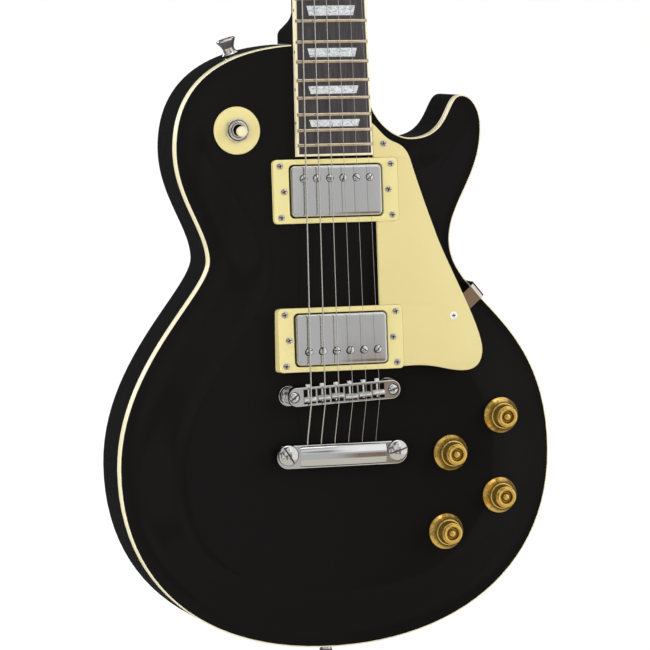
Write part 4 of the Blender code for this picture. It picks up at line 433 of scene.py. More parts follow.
def plate(loops, low, high, edge=0.5, low_edge=0.0, steps=4):
    """A flat outline with holes, from low to high, with its upper and lower edges rounded."""
    rows = edge_rounding(low_edge, low, -1, steps) if low_edge else [(0, low)]
    rows += edge_rounding(edge, high, 1, steps) if edge else [(0, high)]
    shape, ends = Shape(), []
    for number, loop in enumerate(loops):
        loop = [Vector(p) for p in loop]
        side = 1 if number == 0 else -1
        rings = [shape.ring([(p.x, p.y, z) for p in offset(loop, side * inset)]) for inset, z in rows]
        shape.skin(rings)
        ends.append((rings[0], rings[-1]))
    shape.cap(*[e[0] for e in ends])
    return shape.cap(*[e[1] for e in ends])


def lathe(profile, steps=40, soft=0.0):
    """A turned shape from (radius, z) points, its corners softened."""
    points = soften(profile, soft, 3) if soft else [Vector(p) for p in profile]
    shape, rings = Shape(), []
    for radius, z in points:
        if radius < 1e-4:
            rings.append(shape.ring([(0, 0, z)]))
        else:
            rings.append(shape.ring([(p.x, p.y, z) for p in circle(radius, steps)]))
    return shape.skin(rings)


def box(low, high, edge=0.0):
    """A box; with an edge, its upright sides and its top are rounded."""
    middle = [(a + b) / 2 for a, b in zip(low, high)]
    half_x, half_y, _ = [(b - a) / 2 for a, b in zip(low, high)]
    shape = plate([rectangle(half_x, half_y, edge, 3)], low[2], high[2], edge, 0, 3)
    return Shape().add(shape, shifted(middle[0], middle[1]))


def tube(path, radius, steps=12):
    """A tube along points, with UVs in millimetres along it."""
    path = [Vector(p) for p in path]
    turns = [2 * pi * n / steps for n in range(steps)]
    shape, rings, lengths = Shape(), [], [0.0]
    side = None
    for k, point in enumerate(path):
        run = (path[min(k + 1, len(path) - 1)] - path[max(k - 1, 0)]).normalized()
        side = side or run.orthogonal()
        side = (side - run * run.dot(side)).normalized()
        other = run.cross(side)
        rings.append(shape.ring([point + radius * (side * cos(t) + other * sin(t)) for t in turns]))
        if k:
            lengths.append(lengths[-1] + (point - path[k - 1]).length)
    shape.uv = [(length, n / steps) for length in lengths for n in range(steps)]
    return shape.loft(rings)


def new_mesh(name, verts, faces):
    """A mesh whose faces look outwards."""
    mesh = bpy.data.meshes.new(name)
    mesh.from_pydata(verts, [], faces)
    bm = bmesh.new()
    bm.from_mesh(mesh)
    bmesh.ops.recalc_face_normals(bm, faces=bm.faces)
    bm.to_mesh(mesh)
    bm.free()
    return mesh


def new_object(name, data):
    thing = bpy.data.objects.new(name, data)
    bpy.context.scene.collection.objects.link(thing)
    return thing


def finished_mesh(name, shape, sharp):
    mesh = new_mesh(name, [v * MM for v in shape.verts], shape.faces)
    if shape.uv:
        layer = mesh.uv_layers.new(name="along")
        for loop in mesh.loops:
            layer.data[loop.index].uv = [c * MM for c in shape.uv[loop.vertex_index]]
    count = range(len(mesh.polygons))
    mesh.polygons.foreach_set("use_smooth", [k not in shape.flat for k in count])
    mesh.polygons.foreach_set("material_index", [int(k in shape.dark) for k in count])
    mesh.set_sharp_from_angle(angle=radians(sharp))
    return mesh


def piece(name, shape, at, body, paint, replaces=(), sharp=38, shade_paint=RECESS_SHADE):
    """A finished piece of the object, riding on a body when it is given one."""
    thing = new_object(name, finished_mesh(name, shape, sharp))
    thing.data.materials.append(paint.material)
    if shape.dark:
        thing.data.materials.append(shade_paint.material)
    if shape.carved:
        thing.modifiers.new("even_shading", "WEIGHTED_NORMAL").keep_sharp = True
    thing.matrix_world = at
    if body:
        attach(thing, body)
    if replaces:
        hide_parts(replaces)
    return thing


def carved(shape, cutter, operation="DIFFERENCE"):
    """A shape with another cut from it or joined to it."""
    meshes = [new_mesh("carving", part.verts, part.faces) for part in (shape, cutter)]
    things = [new_object("carving", mesh) for mesh in meshes]
    modifier = things[0].modifiers.new("carve", "BOOLEAN")
    modifier.object, modifier.operation, modifier.solver = things[1], operation, "EXACT"
    modifier.use_self = True
    graph = bpy.context.evaluated_depsgraph_get()
    result = bpy.data.meshes.new_from_object(things[0].evaluated_get(graph))
    made = Shape()
    made.verts = [v.co.copy() for v in result.vertices]
    made.faces = [tuple(f.vertices) for f in result.polygons]
    made.carved = True
    for thing in things:
        bpy.data.objects.remove(thing)
    bpy.data.meshes.remove(result)
    return made


def shade(shape, test):
    """Gives painted shade, a dark finish, to the faces whose middles pass a test."""
    for k, face in enumerate(shape.faces):
        if test(sum((shape.verts[i] for i in face), Vector()) / len(face)):
            shape.dark.add(k)
    return shape


def repaint(node, paint, edge=0.0):
    """Keeps a CAD node and gives it a finish, and soft edges if it needs them."""
    thing = NODES[node]
    thing.data.materials.clear()
    thing.data.materials.append(paint.material)
    if edge:
        bevel = thing.modifiers.new("edge", "BEVEL")
        bevel.width, bevel.segments, bevel.limit_method = edge * MM, 2, "ANGLE"
        bevel.angle_limit, bevel.harden_normals = radians(40), True


def smooth(t):
    t = min(1.0, max(0.0, t))
    return t * t * (3 - 2 * t)


def lerp(table, at):
    """A value read off a table of (place, value)."""
    places, values = zip(*table)
    return float(np.interp(at, places, values))


# ------------------------------------------------------------ screws


def screw_head(radius, height, kind, share=0.66, rim=None):
    """A domed head on z = 0 with its recess, whose walls get painted shade.

    A cross reaches out to a share of the radius. With a rim, the head also gets painted shade beyond that share, a
    dark outline.
    """
    dome = [(radius * sin(a), height * (0.3 + 0.7 * cos(a))) for a in quarter(6)]
    head, floor = lathe([*dome, (radius, 0), (0, 0)], 28), height * 0.35
    long, short = radius * share, radius * 0.15
    cuts = [(long, short), (short, long)] if kind == "cross" else [(radius * 1.2, radius * 0.12)]
    for x, y in cuts:
        head = carved(head, box((-x, -y, floor), (x, y, height * 2)))

    def sunk(middle):
        out = hypot(middle.x, middle.y) / radius
        surface = height * (0.3 + 0.7 * cos(min(1.0, out) * pi / 2))
        in_recess = floor - 0.01 < middle.z < surface - 0.12 * height and out < 0.85
        return in_recess or bool(rim) and out > rim and middle.z > 0.01

    return shade(head, sunk)


def screws(name, head, at, places, body, paint=SCREW):
    """One piece of several alike screws, each (x, y, z, turn)."""
    shape = Shape()
    for x, y, z, turn in places:
        shape.add(head, shifted(x, y, z, turn))
    return piece(name, shape, at, body, paint)


CROSS = screw_head(2.45, 1.2, "cross")
WIDE_CROSS = screw_head(2.8, 1.2, "cross", 0.55)
SMALL_CROSS = screw_head(1.8, 1.1, "cross")
# The pole screws' heads carry a rim of painted shade where they meet the cover.
POLE = screw_head(2.9, 1.15, "slot", rim=0.86)


# ------------------------------------------------------------ body

# The body's edge from the neck down its bass side and back: place, handle that leaves, handle that arrives
BODY_TURNS = [
    ((-POCKET, JOIN), (-57, -3.5), None),
    ((-115, 372), (0, -34), (0, 44)),
    ((-91.7, 293), (0, -22), (0, 22)),
    ((-159, 147), (0, -86), (0, 74)),
    ((0, 12), (95, 0), (-95, 0)),
    ((TREBLE_SIDE, 147), (0, 100), (0, -86)),
    ((89.5, 303), (0, 27), (0, -44)),
    ((114.3, 384), (0, 13.5), (0, -36)),
    ((99.3, 407.4), (-12, 0), (8.3, 0)),
    ((61.5, 377.2), (-18, 0), (30, 0)),
    ((POCKET, 412), None, (0, -15)),
]


def through(turns, steps):
    """A line of curves through turns, each (place, handle that leaves, handle that arrives)."""
    points = []
    for (here, leave, _), (there, _, arrive) in zip(turns, turns[1:]):
        here, there = Vector(here), Vector(there)
        run = interpolate_bezier(here, here + Vector(leave), there + Vector(arrive), there, steps)
        points += [p.to_2d() for p in run[:-1]]
    return points + [Vector(turns[-1][0])]


EDGE = through(BODY_TURNS, 26) + [Vector((POCKET, JOIN))]
# The edge that the carving falls to: all of it but the stretch beside the neck
CARVED_EDGE = np.array([p for p in EDGE if abs(p.x) > POCKET + 0.3 or p.y < 198])


def distances(points, starts, ends):
    """How far each point lies from the nearest of some straight stretches."""
    run = ends - starts
    away = points[:, None, :] - starts
    share = np.clip((away * run).sum(2) / np.maximum((run**2).sum(1), 1e-9), 0, 1)
    return np.sqrt(((away - share[..., None] * run) ** 2).sum(2)).min(1)


def within(points, starts, ends):
    """Which points an outline of straight stretches has inside it."""
    x, y = points[:, :1], points[:, 1:]
    run = ends - starts
    crossing = (starts[:, 1] > y) != (ends[:, 1] > y)
    with np.errstate(divide="ignore", invalid="ignore"):
        reach = starts[:, 0] + (y - starts[:, 1]) * run[:, 0] / run[:, 1]
    return ((crossing & (x < reach)).sum(1) % 2).astype(bool)


def top_levels(points):
    """How far the face stands out at each place: it swells from the edge and falls back to the neck."""
    flat_edge, rise = 5, 41
    t = np.clip((distances(points, CARVED_EDGE[:-1], CARVED_EDGE[1:]) - flat_edge) / rise, 0, 1)
    swell = (CREST - RIM) * t * t * (3 - 2 * t)
    return RIM + np.minimum(swell, (JOIN - points[:, 1]) * tan(PITCH))


def eased(levels, links, fixed, passes=7):
    """Levels drawn towards those of their neighbours, apart from the fixed ones."""
    for _ in range(passes):
        total, number = np.zeros(len(levels)), np.zeros(len(levels))
        for a, b in ((0, 1), (1, 0)):
            np.add.at(total, links[:, a], levels[links[:, b]])
            np.add.at(number, links[:, a], 1)
        levels = np.where(fixed, levels, 0.5 * levels + 0.5 * total / number)
    return levels


def make_top():
    """The carved cap over a fine triangle net, its creases eased."""
    loop = offset(EDGE, BAND, False)
    loop[0].x += 0.3
    loop = [Vector((loop[0].x, JOIN))] + loop
    count, step, clear = len(loop), 3.5, 1.6
    xs, ys = np.arange(-160, 161, step), np.arange(13, JOIN, step)
    grid = np.array([(x + (step / 2 if n % 2 else 0), y) for n, y in enumerate(ys) for x in xs])
    starts = np.array([tuple(p) for p in loop])
    ends = np.roll(starts, -1, 0)
    kept = within(grid, starts, ends) & (distances(grid, starts, ends) >= clear)
    points = loop + [Vector(p) for p in grid[kept]]
    edges = [(k, (k + 1) % count) for k in range(count)]
    verts, _, faces, origin, _, _ = delaunay_2d_cdt(points, edges, [], 0, 1e-6, True)
    places = np.array([tuple(v) for v in verts])
    inside = within(np.array([places[f].mean(0) for f in faces]), starts, ends)
    faces = [tuple(f) for f, ok in zip(faces, inside) if ok]
    links = np.array([(a, b) for f in faces for a, b in zip(f, f[1:] + f[:1])])
    rim = np.array([any(i < count for i in o) for o in origin])
    levels = eased(top_levels(places), links, rim)
    shape = Shape()
    shape.ring([(v.x, v.y, z) for v, z in zip(verts, levels)])
    shape.faces = faces
    order = {i: k for k, o in enumerate(origin) for i in o}
    low = shape.ring([(p.x, p.y, SEAM + 0.15) for p in loop])
    shape.skin([low, [order[k] for k in range(count)]]).cap(low)
    piece("carved_top", shape, BODY, "root", TOP_LACQUER, "body_top", 50)


KNOB_NAMES = ("neck_volume", "bridge_volume", "neck_tone", "bridge_tone")
KNOBS = {name: place(f"{name}_turn") / MM for name in KNOB_NAMES}
LEFT, RIGHT = [pick(p.x for p in KNOBS.values()) for pick in (min, max)]
LOW, HIGH = [pick(p.z for p in KNOBS.values()) for pick in (min, max)]


def cavity_outline(grow):
    """The control cavity round the knobs, with two corners cut off."""
    left, right, low, high = LEFT - 20, RIGHT + 16, LOW - 16, HIGH + 16
    cut = 32
    corners = [
        (left - grow, low - grow),
        (right - cut + grow / 2, low - grow),
        (right + grow, low + cut - grow / 2),
        (right + grow, high + grow),
        (right - cut - grow / 2, high + grow),
        (left - grow, high - cut + grow / 2),
    ]
    return soften(corners, 14 + grow, 10, True)


SWITCH_CAVITY = (-71.1, SWITCH.translation.z / MM + 0.44)
COVER_LIP, COVER_RADIUS = 5.7, 27.7  # how far the covers reach out from the cavity, and from the switch
COVER_GAP, COVER_THICKNESS, RECESS_DEPTH = 0.5, 2.2, 3


def make_back():
    """The back with its rear edge rounded, and a shallow recess for each cover."""
    shape = Shape()
    rows = edge_rounding(3.8, -RIM, -1, 8) + [(0, SEAM)]
    rings = [shape.ring([(p.x, p.y, z) for p in offset(EDGE, inset)]) for inset, z in rows]
    shape.skin(rings).cap(rings[-1])
    holes = []
    recesses = (cavity_outline(COVER_LIP + COVER_GAP), circle(COVER_RADIUS + COVER_GAP, 72, *SWITCH_CAVITY))
    for loop in recesses:
        high, floor = [shape.ring([(p.x, p.y, z) for p in loop]) for z in (-RIM, RECESS_DEPTH - RIM)]
        shape.skin([high, floor]).cap(floor)
        holes.append(high)
    shape.cap(rings[0], *holes)
    piece("back_shell", shape, BODY, "root", LACQUER, "body_back")


def make_binding():
    shape = Shape()
    rows = [(0, SEAM)] + edge_rounding(0.45, RIM, 1, 3) + [(BAND, RIM), (BAND, SEAM)]
    lines = [shape.ring([(p.x, p.y, z) for p in offset(EDGE, inset, False)]) for inset, z in rows]
    shape.skin(lines + lines[:1], False)
    shape.cap([line[0] for line in lines]).cap([line[-1] for line in lines])
    piece("edge_binding", shape, BODY, "root", BINDING, "body_binding")


def make_rear_covers():
    flipped = Matrix.Diagonal((1, 1, -1, 1))
    for name, node, loop in (
        ("control_cavity_cover", "control_cover", cavity_outline(COVER_LIP)),
        ("switch_cavity_cover", "switch_cover", circle(COVER_RADIUS, 72, *SWITCH_CAVITY)),
    ):
        shape = Shape().add(plate([loop], RIM - COVER_THICKNESS, RIM), flipped)
        piece(name, shape, BODY, "root", BLACK, node)
    spots = [(LEFT - 21, LOW - 16.5), (RIGHT - 12, LOW - 18), (RIGHT + 17, HIGH - 8)]
    spots += [(RIGHT - 15, HIGH + 18), (LEFT - 22, HIGH - 14)]
    x, y = SWITCH_CAVITY
    ring = COVER_RADIUS - 3.2
    spots += [(x + ring * cos(a), y + ring * sin(a)) for a in (pi / 2, 7 * pi / 6, -pi / 6)]
    back = BODY @ Matrix.Rotation(pi, 4, "Y")
    screws("cover_screws", CROSS, back, [(-x, y, RIM - 0.3, x * y) for x, y in spots], "root")


# ------------------------------------------------------------ neck, fretboard and headstock


def board_half(y):
    """Half the fretboard's width, with y below zero on the way from the nut to the body."""
    return (NUT_WIDTH + (END_WIDTH - NUT_WIDTH) * -y / BOARD_LENGTH) / 2


def neck_section(half, depth, power, top_edge, steps=30):
    """A section of the neck: flat on top with rounded edges, and round below."""
    round_below = []
    for k in range(1, steps):
        angle = pi * k / steps
        way = 1 if angle < pi / 2 else -1
        round_below.append([way * half * abs(cos(angle)) ** power, -depth * sin(angle) ** power])
    corner = [(0, -1), (0.04, -0.6), (0.3, -0.12), (1, 0)]
    right = [[half - top_edge * a, top_edge * b] for a, b in corner]
    left = [[-x, z] for x, z in right]
    below = [right[0], *[p for p in round_below if p[1] < -top_edge], left[0]]
    return right[::-1] + resample(below, steps - 7)[1:-1] + left


def resample(points, count):
    """As many points as asked, evenly along a line."""
    points = np.array(points, float)
    reach = np.concatenate([[0], np.cumsum(np.hypot(*np.diff(points, axis=0).T))])
    at = np.linspace(0, reach[-1], count)
    return [[float(np.interp(a, reach, points[:, k])) for k in (0, 1)] for a in at]


FLARE = [5 + (HEAD_FLARE - 5) * k / 12 for k in range(1, 13)]


def head_half(y):
    """Half the headstock's width: it flares from the neck, and its far corners are round."""
    neck = NUT_WIDTH / 2
    rows = [(0, neck)] + [(y, neck + 14.5 * smooth(k / 12)) for k, y in enumerate(FLARE, 1)]
    for a in quarter(10):
        down, in_from_side = HEAD_CORNER * (1 - sin(a)), HEAD_CORNER * (1 - cos(a))
        rows.append((HEAD_LENGTH - down, HEAD_HALF - in_from_side))
    return lerp(rows, y)


def make_neck():
    """Heel, shaft and headstock in one smooth loft."""
    start, curve, heel_end, heel_depth = JOIN + 0.3, JOIN + 6.3, JOIN + 24.3, 44
    heights = [start, (start + curve) / 2] + [curve + (heel_end - curve) * k / 12 for k in range(13)]
    heights += [heel_end + (NUT_HEIGHT - heel_end) * k / 24 for k in range(1, 25)]
    sections = []
    for height in heights:
        heel = 1 - smooth((height - curve) / (heel_end - curve))
        shaft = lerp([(heel_end, 17.5), (NUT_HEIGHT, 14.5)], height)
        depth = shaft + (heel_depth - shaft) * heel
        ring = neck_section(board_half(along_neck(height)), depth, 0.9 - 0.75 * heel, 0.3)
        level = RIM + (JOIN - height) * tan(PITCH)
        sections.append([BODY @ (Vector((x, height, level + z)) * MM) for x, z in ring])
    places = [3, 5, *FLARE, 44, 60, 80, 100, 120, 140, 155]
    places += [HEAD_LENGTH - HEAD_CORNER * (1 - sin(a)) for a in quarter(10)]
    for y in places:
        flare = smooth(y / HEAD_FLARE)
        half = NUT_WIDTH / 2 if y == 3 else head_half(y)
        ring = neck_section(half, HEAD_DEPTH, 0.9 - 0.8 * flare, 0.3 + 0.5 * flare)
        sections.append([HEAD @ (Vector((x, y, z)) * MM) for x, z in ring])
    shape = Shape()
    shape.loft([shape.ring([p / MM for p in section]) for section in sections])
    piece("set_neck", shape, Matrix(), "root", LACQUER, "neck", 42)


def crown(x):
    """The board's level across it: highest in the middle."""
    return -x * x / (2 * BOARD_RADIUS)


def fret_at(n):
    return SCALE * (1 - 2 ** (-n / 12))


def across(half, steps=14):
    """Places from the treble side to the bass side."""
    return [half - 2 * half * k / steps for k in range(steps + 1)]


def make_board():
    core, rings = Shape(), []
    for k in range(25):
        y = -0.15 - (BOARD_LENGTH - 0.15 - BOARD_BAND) * k / 24
        half = board_half(y) - BOARD_BAND
        under = [(-half, y, -BOARD_DEPTH), (half, y, -BOARD_DEPTH)]
        rings.append(core.ring([(x, y, crown(x)) for x in across(half)] + under))
    piece("rosewood_board", core.loft(rings), NECK, "root", ROSEWOOD, "fretboard", 30)


def make_board_binding():
    strips, low = Shape(), -BOARD_DEPTH
    for side in (1, -1):
        rings = []
        for k in range(13):
            y = -0.15 - (BOARD_LENGTH - 0.15) * k / 12
            half = board_half(y)
            outer, inner, top = side * half, side * (half - BOARD_BAND), crown(half)
            ring = [(outer, y, low), (outer, y, top - 0.5), (outer - side * 0.15, y, top - 0.15)]
            ring += [(outer - side * 0.5, y, top), (inner, y, crown(inner)), (inner, y, low)]
            rings.append(strips.ring(ring))
        strips.loft(rings)
    end, rings = -BOARD_LENGTH, []
    for x in across(board_half(end) - BOARD_BAND):
        outer = [(x, end, low), (x, end, crown(x) - 0.4), (x, end + 0.4, crown(x))]
        rings.append(strips.ring(outer + [(x, end + BOARD_BAND, crown(x)), (x, end + BOARD_BAND, low)]))
    strips.skin(rings)
    piece("fretboard_binding", strips, NECK, "root", BINDING, ())


def make_frets():
    wires, half_width, full_rise = Shape(), 1.25, 1.1
    for n in range(1, FRETS + 1):
        y = -fret_at(n)
        half = board_half(y) - 0.5
        shares = [-1 + 2 * j / 14 for j in range(15)]
        rises = {share: full_rise for share in shares}
        xs = {share: half * share for share in shares}
        rises[-1] = rises[1] = 0.25
        xs[shares[1]], xs[shares[-2]] = 0.8 - half, half - 0.8
        rings = []
        for share in shares:
            x, rise = xs[share], rises[share]
            profile = [(half_width * cos(pi * i / 8), rise * sin(pi * i / 8)) for i in range(9)]
            profile = [(half_width, -0.3), *profile, (-half_width, -0.3)]
            rings.append(wires.ring([(x, y + a, crown(x) + b) for a, b in profile]))
        wires.loft(rings)
    piece("frets", wires, NECK, "root", FRET, (), 50)


def make_inlays():
    inlays, dots = Shape(), Shape()
    for n in (3, 5, 7, 9, 12, 15, 17, 19, 21):
        high, low = -fret_at(n - 1), -fret_at(n)
        middle, reach = (high + low) / 2 - 0.6, 0.222 * (high - low)
        wide = board_half(middle) * 0.675
        rings = []
        for y, half in ((middle + reach, wide), (middle - reach, wide - 1.7)):
            xs = across(half, 12)
            ring = [(x, y, crown(x) + 0.05) for x in xs] + [(x, y, crown(x) - 0.5) for x in xs[::-1]]
            rings.append(inlays.ring(ring))
        inlays.loft(rings)
        for shift in (-3.5, 3.5) if n == 12 else (0,):
            y = (high + low) / 2 + shift
            dot = plate([circle(1.1, 20)], 0, 0.06, 0.03)
            dots.add(dot, shifted(-board_half(y), y, -3, -pi / 2, "Y"))
    piece("pearloid_inlays", inlays, NECK, "root", PEARL, (), 20)
    piece("side_dots", dots, NECK, "root", BLACK)


def string_x(number, y):
    """A string's place across the neck. All six spread over 36 mm at the nut and 51.4 mm at the bridge."""
    share = min(1.0, max(0.0, -y / SCALE))
    return (36 + 15.4 * share) * (0.5 - (number - 1) / 5)


def make_head_fittings():
    repaint("nut", BONE, 0.35)
    repaint("truss_rod", STEEL, 0.3)
    right = [(9, 9), (7.5, 20), (4.5, 30), (6, 38), (3, 47)]
    left = [(-x, y) for x, y in right[::-1]]
    outline = soften([left[-1], *right, *left[:-1]], 6, 6, True)
    piece("truss_rod_cover", plate([outline], 0.1, 2.4, 0.4), HEAD, "root", BLACK)
    edge = Shape()
    edge.loft([edge.ring([(p.x, p.y, z) for p in offset(outline, -0.9)]) for z in (0.05, 1.1)])
    piece("truss_rod_cover_edge", edge, HEAD, "root", BINDING)
    screws("truss_rod_cover_screws", SMALL_CROSS, HEAD, [(0, 43, 2.3, 0.4), (0, 12.5, 2.3, 1.1)], "root")


# ------------------------------------------------------------ plastics on the face

PLASTIC_TOP = -1.5  # the rings' and the guard's upper faces, in the neck's frame
SCREW_LEVEL = PLASTIC_TOP - 0.1


def pickup_frame(kind):
    """The frame at a pickup's middle, and how far along the neck it lies."""
    low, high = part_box(f"{kind}_pickup_ring")
    middle = NECK.inverted() @ ((low + high) / 2)
    return NECK @ Matrix.Translation((0, middle.y, 0)), middle.y / MM


def make_pickup(kind, cover_top, pitch, side, shift):
    """The pole screws stand a pitch apart, in a row to one side of the middle."""
    at, y = pickup_frame(kind)
    body, ring = f"{kind}_pickup", f"{kind}_pickup_ring"
    shape = plate([rectangle(RING_X, RING_Y, RING_CORNER, 8), rectangle(35.0, 19.0, 3.4, 8)], -9, PLASTIC_TOP)
    for vert in shape.verts:
        if vert.z < -8.9:
            plateau = (CREST + 0.3 + NECK.translation.y / MM + (y + vert.y) * sin(PITCH)) / cos(PITCH)
            vert.z = plateau if kind == "bridge" else NECK_TOP + 0.3
    piece(f"{kind}_pickup_surround", shape, at, "root", RING_CREAM, ring)
    shell = plate([rectangle(33.9, 18.1, 3.2, 8)], cover_top - 12.5, cover_top, 1.5, 0, 6)
    piece(f"{kind}_pickup_can", shell, at, body, COVER_CHROME, f"{kind}_pickup_cover")
    repaint(f"{kind}_pickup_core", FELT)
    poles = [(shift + pitch * (k - 2.5), side, cover_top - 0.2, 0.5 + 1.3 * k) for k in range(6)]
    screws(f"{kind}_pole_screws", POLE, at, poles, body, CHROME)
    places = [(x, y, SCREW_LEVEL, x * 0.7 + y) for x in (-41.5, 41.5) for y in (-18.2, 18.2)]
    places += [(x, 0, SCREW_LEVEL, x) for x in (-39, 39)]
    screws(f"{kind}_ring_screws", CROSS, at, places, "root", DARK_SCREW)


def guard_outline():
    """The pickguard fits round the rings' corners, and runs past the board's end to a tip."""
    edge, reach = RING_X + 0.02, RING_Y + 0.06
    neck, bridge = [NUT_HEIGHT + pickup_frame(kind)[1] * cos(PITCH) for kind in ("neck", "bridge")]
    neck_low, neck_high = neck - reach, neck + reach
    bridge_low, bridge_high = bridge - reach, bridge + reach
    tip = (board_half(along_neck(neck_high + 24.5)) + 0.3, neck_high + 24.5)
    turns = [
        ((edge, bridge_low + 1.5), (24, 1.5), None),
        ((91.6, bridge_low - 3.4), (10, 0), (-14, 0.5)),
        ((106.5, bridge_low + 10.8), (1, 16), (-0.5, -9)),
        ((73.1, neck_high - 52.6), (-8, 22), (6, -20)),
        ((56.3, neck_high - 1.7), (-3, 9), (2.6, -9)),
        ((43.7, neck_high + 11.1), (-6, 2.2), (5, -2)),
        (tip, None, (4, -3.2)),
    ]

    def corner(level, way):
        """The guard's edge round a corner of a ring."""
        middle = Vector((edge - RING_CORNER, level - way * RING_CORNER))
        line = [middle + Vector((RING_CORNER * sin(t), way * RING_CORNER * cos(t))) for t in quarter(6)]
        return line if way > 0 else line[::-1]

    points = [Vector((28.75, neck_high)), *corner(neck_high, 1), *corner(neck_low, -1)]
    points += [Vector((29.7, neck_low)), Vector((29.7, bridge_high)), *corner(bridge_high, 1)]
    return [Vector((p.x, along_neck(p.y))) for p in points + through(turns, 16)]


GUARD_SCREW_AT = (85.3, 249.9)  # across and up, where the bracket holds the guard


def make_guard():
    loop = guard_outline()
    area = sum(a.x * b.y - b.x * a.y for a, b in zip(loop, loop[1:] + loop[:1]))
    loop = loop if area > 0 else loop[::-1]
    guard = plate([loop], PLASTIC_TOP - 2.5, PLASTIC_TOP, 0.2, 0, 2)
    piece("cream_pickguard", guard, NECK, "root", CREAM, "pickguard")
    x, height = GUARD_SCREW_AT
    places = [(x, along_neck(height), SCREW_LEVEL, 0.1)]
    screws("pickguard_screw", WIDE_CROSS, NECK, places, "root", GUARD_SCREW)
    places = [(36.4, along_neck(374.1), SCREW_LEVEL, 0.3)]
    screws("pickguard_tip_screw", CROSS, NECK, places, "root")


def make_bracket():
    """A bent strip from under the pickguard over the rim and down the side."""
    turn, half_width, thickness = radians(40), 6, 1.2
    slope = tan(PITCH) * sin(turn)
    low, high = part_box("pickguard_bracket")
    out = (high.x / MM - 86.1 - half_width * sin(turn)) / cos(turn)
    top = -low.y / MM - 8 * slope
    line = soften([(-8, top + 8 * slope), (out, top - slope * out), (out, top - 30)], 4.6, 10)
    line = [line[0], line[1].lerp(line[0], 0.01), *line[1:-1], line[-2].lerp(line[-1], 0.01), line[-1]]
    strip, rings = Shape(), []
    for a, b in zip(line, offset(line, -thickness, False)):
        corners = ((a, -half_width), (a, half_width), (b, half_width), (b, -half_width))
        rings.append(strip.ring([(p.x, y, p.y) for p, y in corners]))
    at = local(BODY, *GUARD_SCREW_AT) @ Matrix.Rotation(turn, 4, "Z")
    piece("bent_bracket", strip.loft(rings), at, "root", WARM_NICKEL, "pickguard_bracket", 40)


# ------------------------------------------------------------ controls


# The knob's sloping skirt, from top to bottom: radius, level
SKIRT = [(9.3, 7.4), (9.9, 5.6), (10.8, 4.1), (11.8, 2.9), (12.6, 2.0), (13.0, 1.5)]


def numerals():
    """The numbers round a dial, as flat shapes laid on its skirt."""
    made = Shape()
    for n in range(11):
        data = bpy.data.curves.new("numeral", "FONT")
        data.body, data.size, data.align_x, data.resolution_u = str(n), 3.1, "CENTER", 2
        thing = new_object("numeral", data)
        bpy.context.view_layer.update()
        graph = bpy.context.evaluated_depsgraph_get()
        mesh = bpy.data.meshes.new_from_object(thing.evaluated_get(graph))
        angle = radians(228 - 30 * n)
        start = len(made.verts)
        for vert in mesh.vertices:
            radius = 10.35 + vert.co.y * 0.72
            x, y = polar(radius, angle - vert.co.x / 11.6)
            made.verts.append(Vector((x, y, lerp(SKIRT, radius) + 0.05)))
        made.faces += [tuple(start + i for i in face.vertices) for face in mesh.polygons]
        bpy.data.objects.remove(thing)
        bpy.data.curves.remove(data)
        bpy.data.meshes.remove(mesh)
    return made


def make_knobs():
    dimple = [(0, 16), (1.1, 15.85), (2.0, 15.35), (2.6, 14.5), (2.75, 13.2), (3.0, 12.5), (4.0, 12.5)]
    collar = [(4.5, 13.3), (4.7, 15.2), (5.0, 15.75), (6.0, 15.9), (6.6, 15.6), (6.9, 14.9), (7.5, 14.6)]
    side = [(7.8, 14.1), (8.7, 8.6), (8.5, 7.9), (8.7, 7.6), *SKIRT, (13, 0.3)]
    under = [(12.6, 0), (6.2, 0), (6.2, 2.4), (3, 2.4), (3, 0), (0, 0)]
    body = lathe(dimple + collar + side + under, 64, 0.2)
    # Painted shade in the groove round the dimple.
    shade(body, lambda m: 2.4 < hypot(m.x, m.y) < 4.75 and 12 < m.z < 15.3)
    numbers = numerals()
    for name, at in KNOBS.items():
        where, node = local(BODY, at.x, at.z, -at.y), f"{name}_knob"
        piece(f"{name}_dial", body, where, node, GOLD, node, 50, GOLD_PAINTED_SHADE)
        piece(f"{name}_numbers", numbers, where, node, PRINT)
    repaint("control_plate", STEEL)


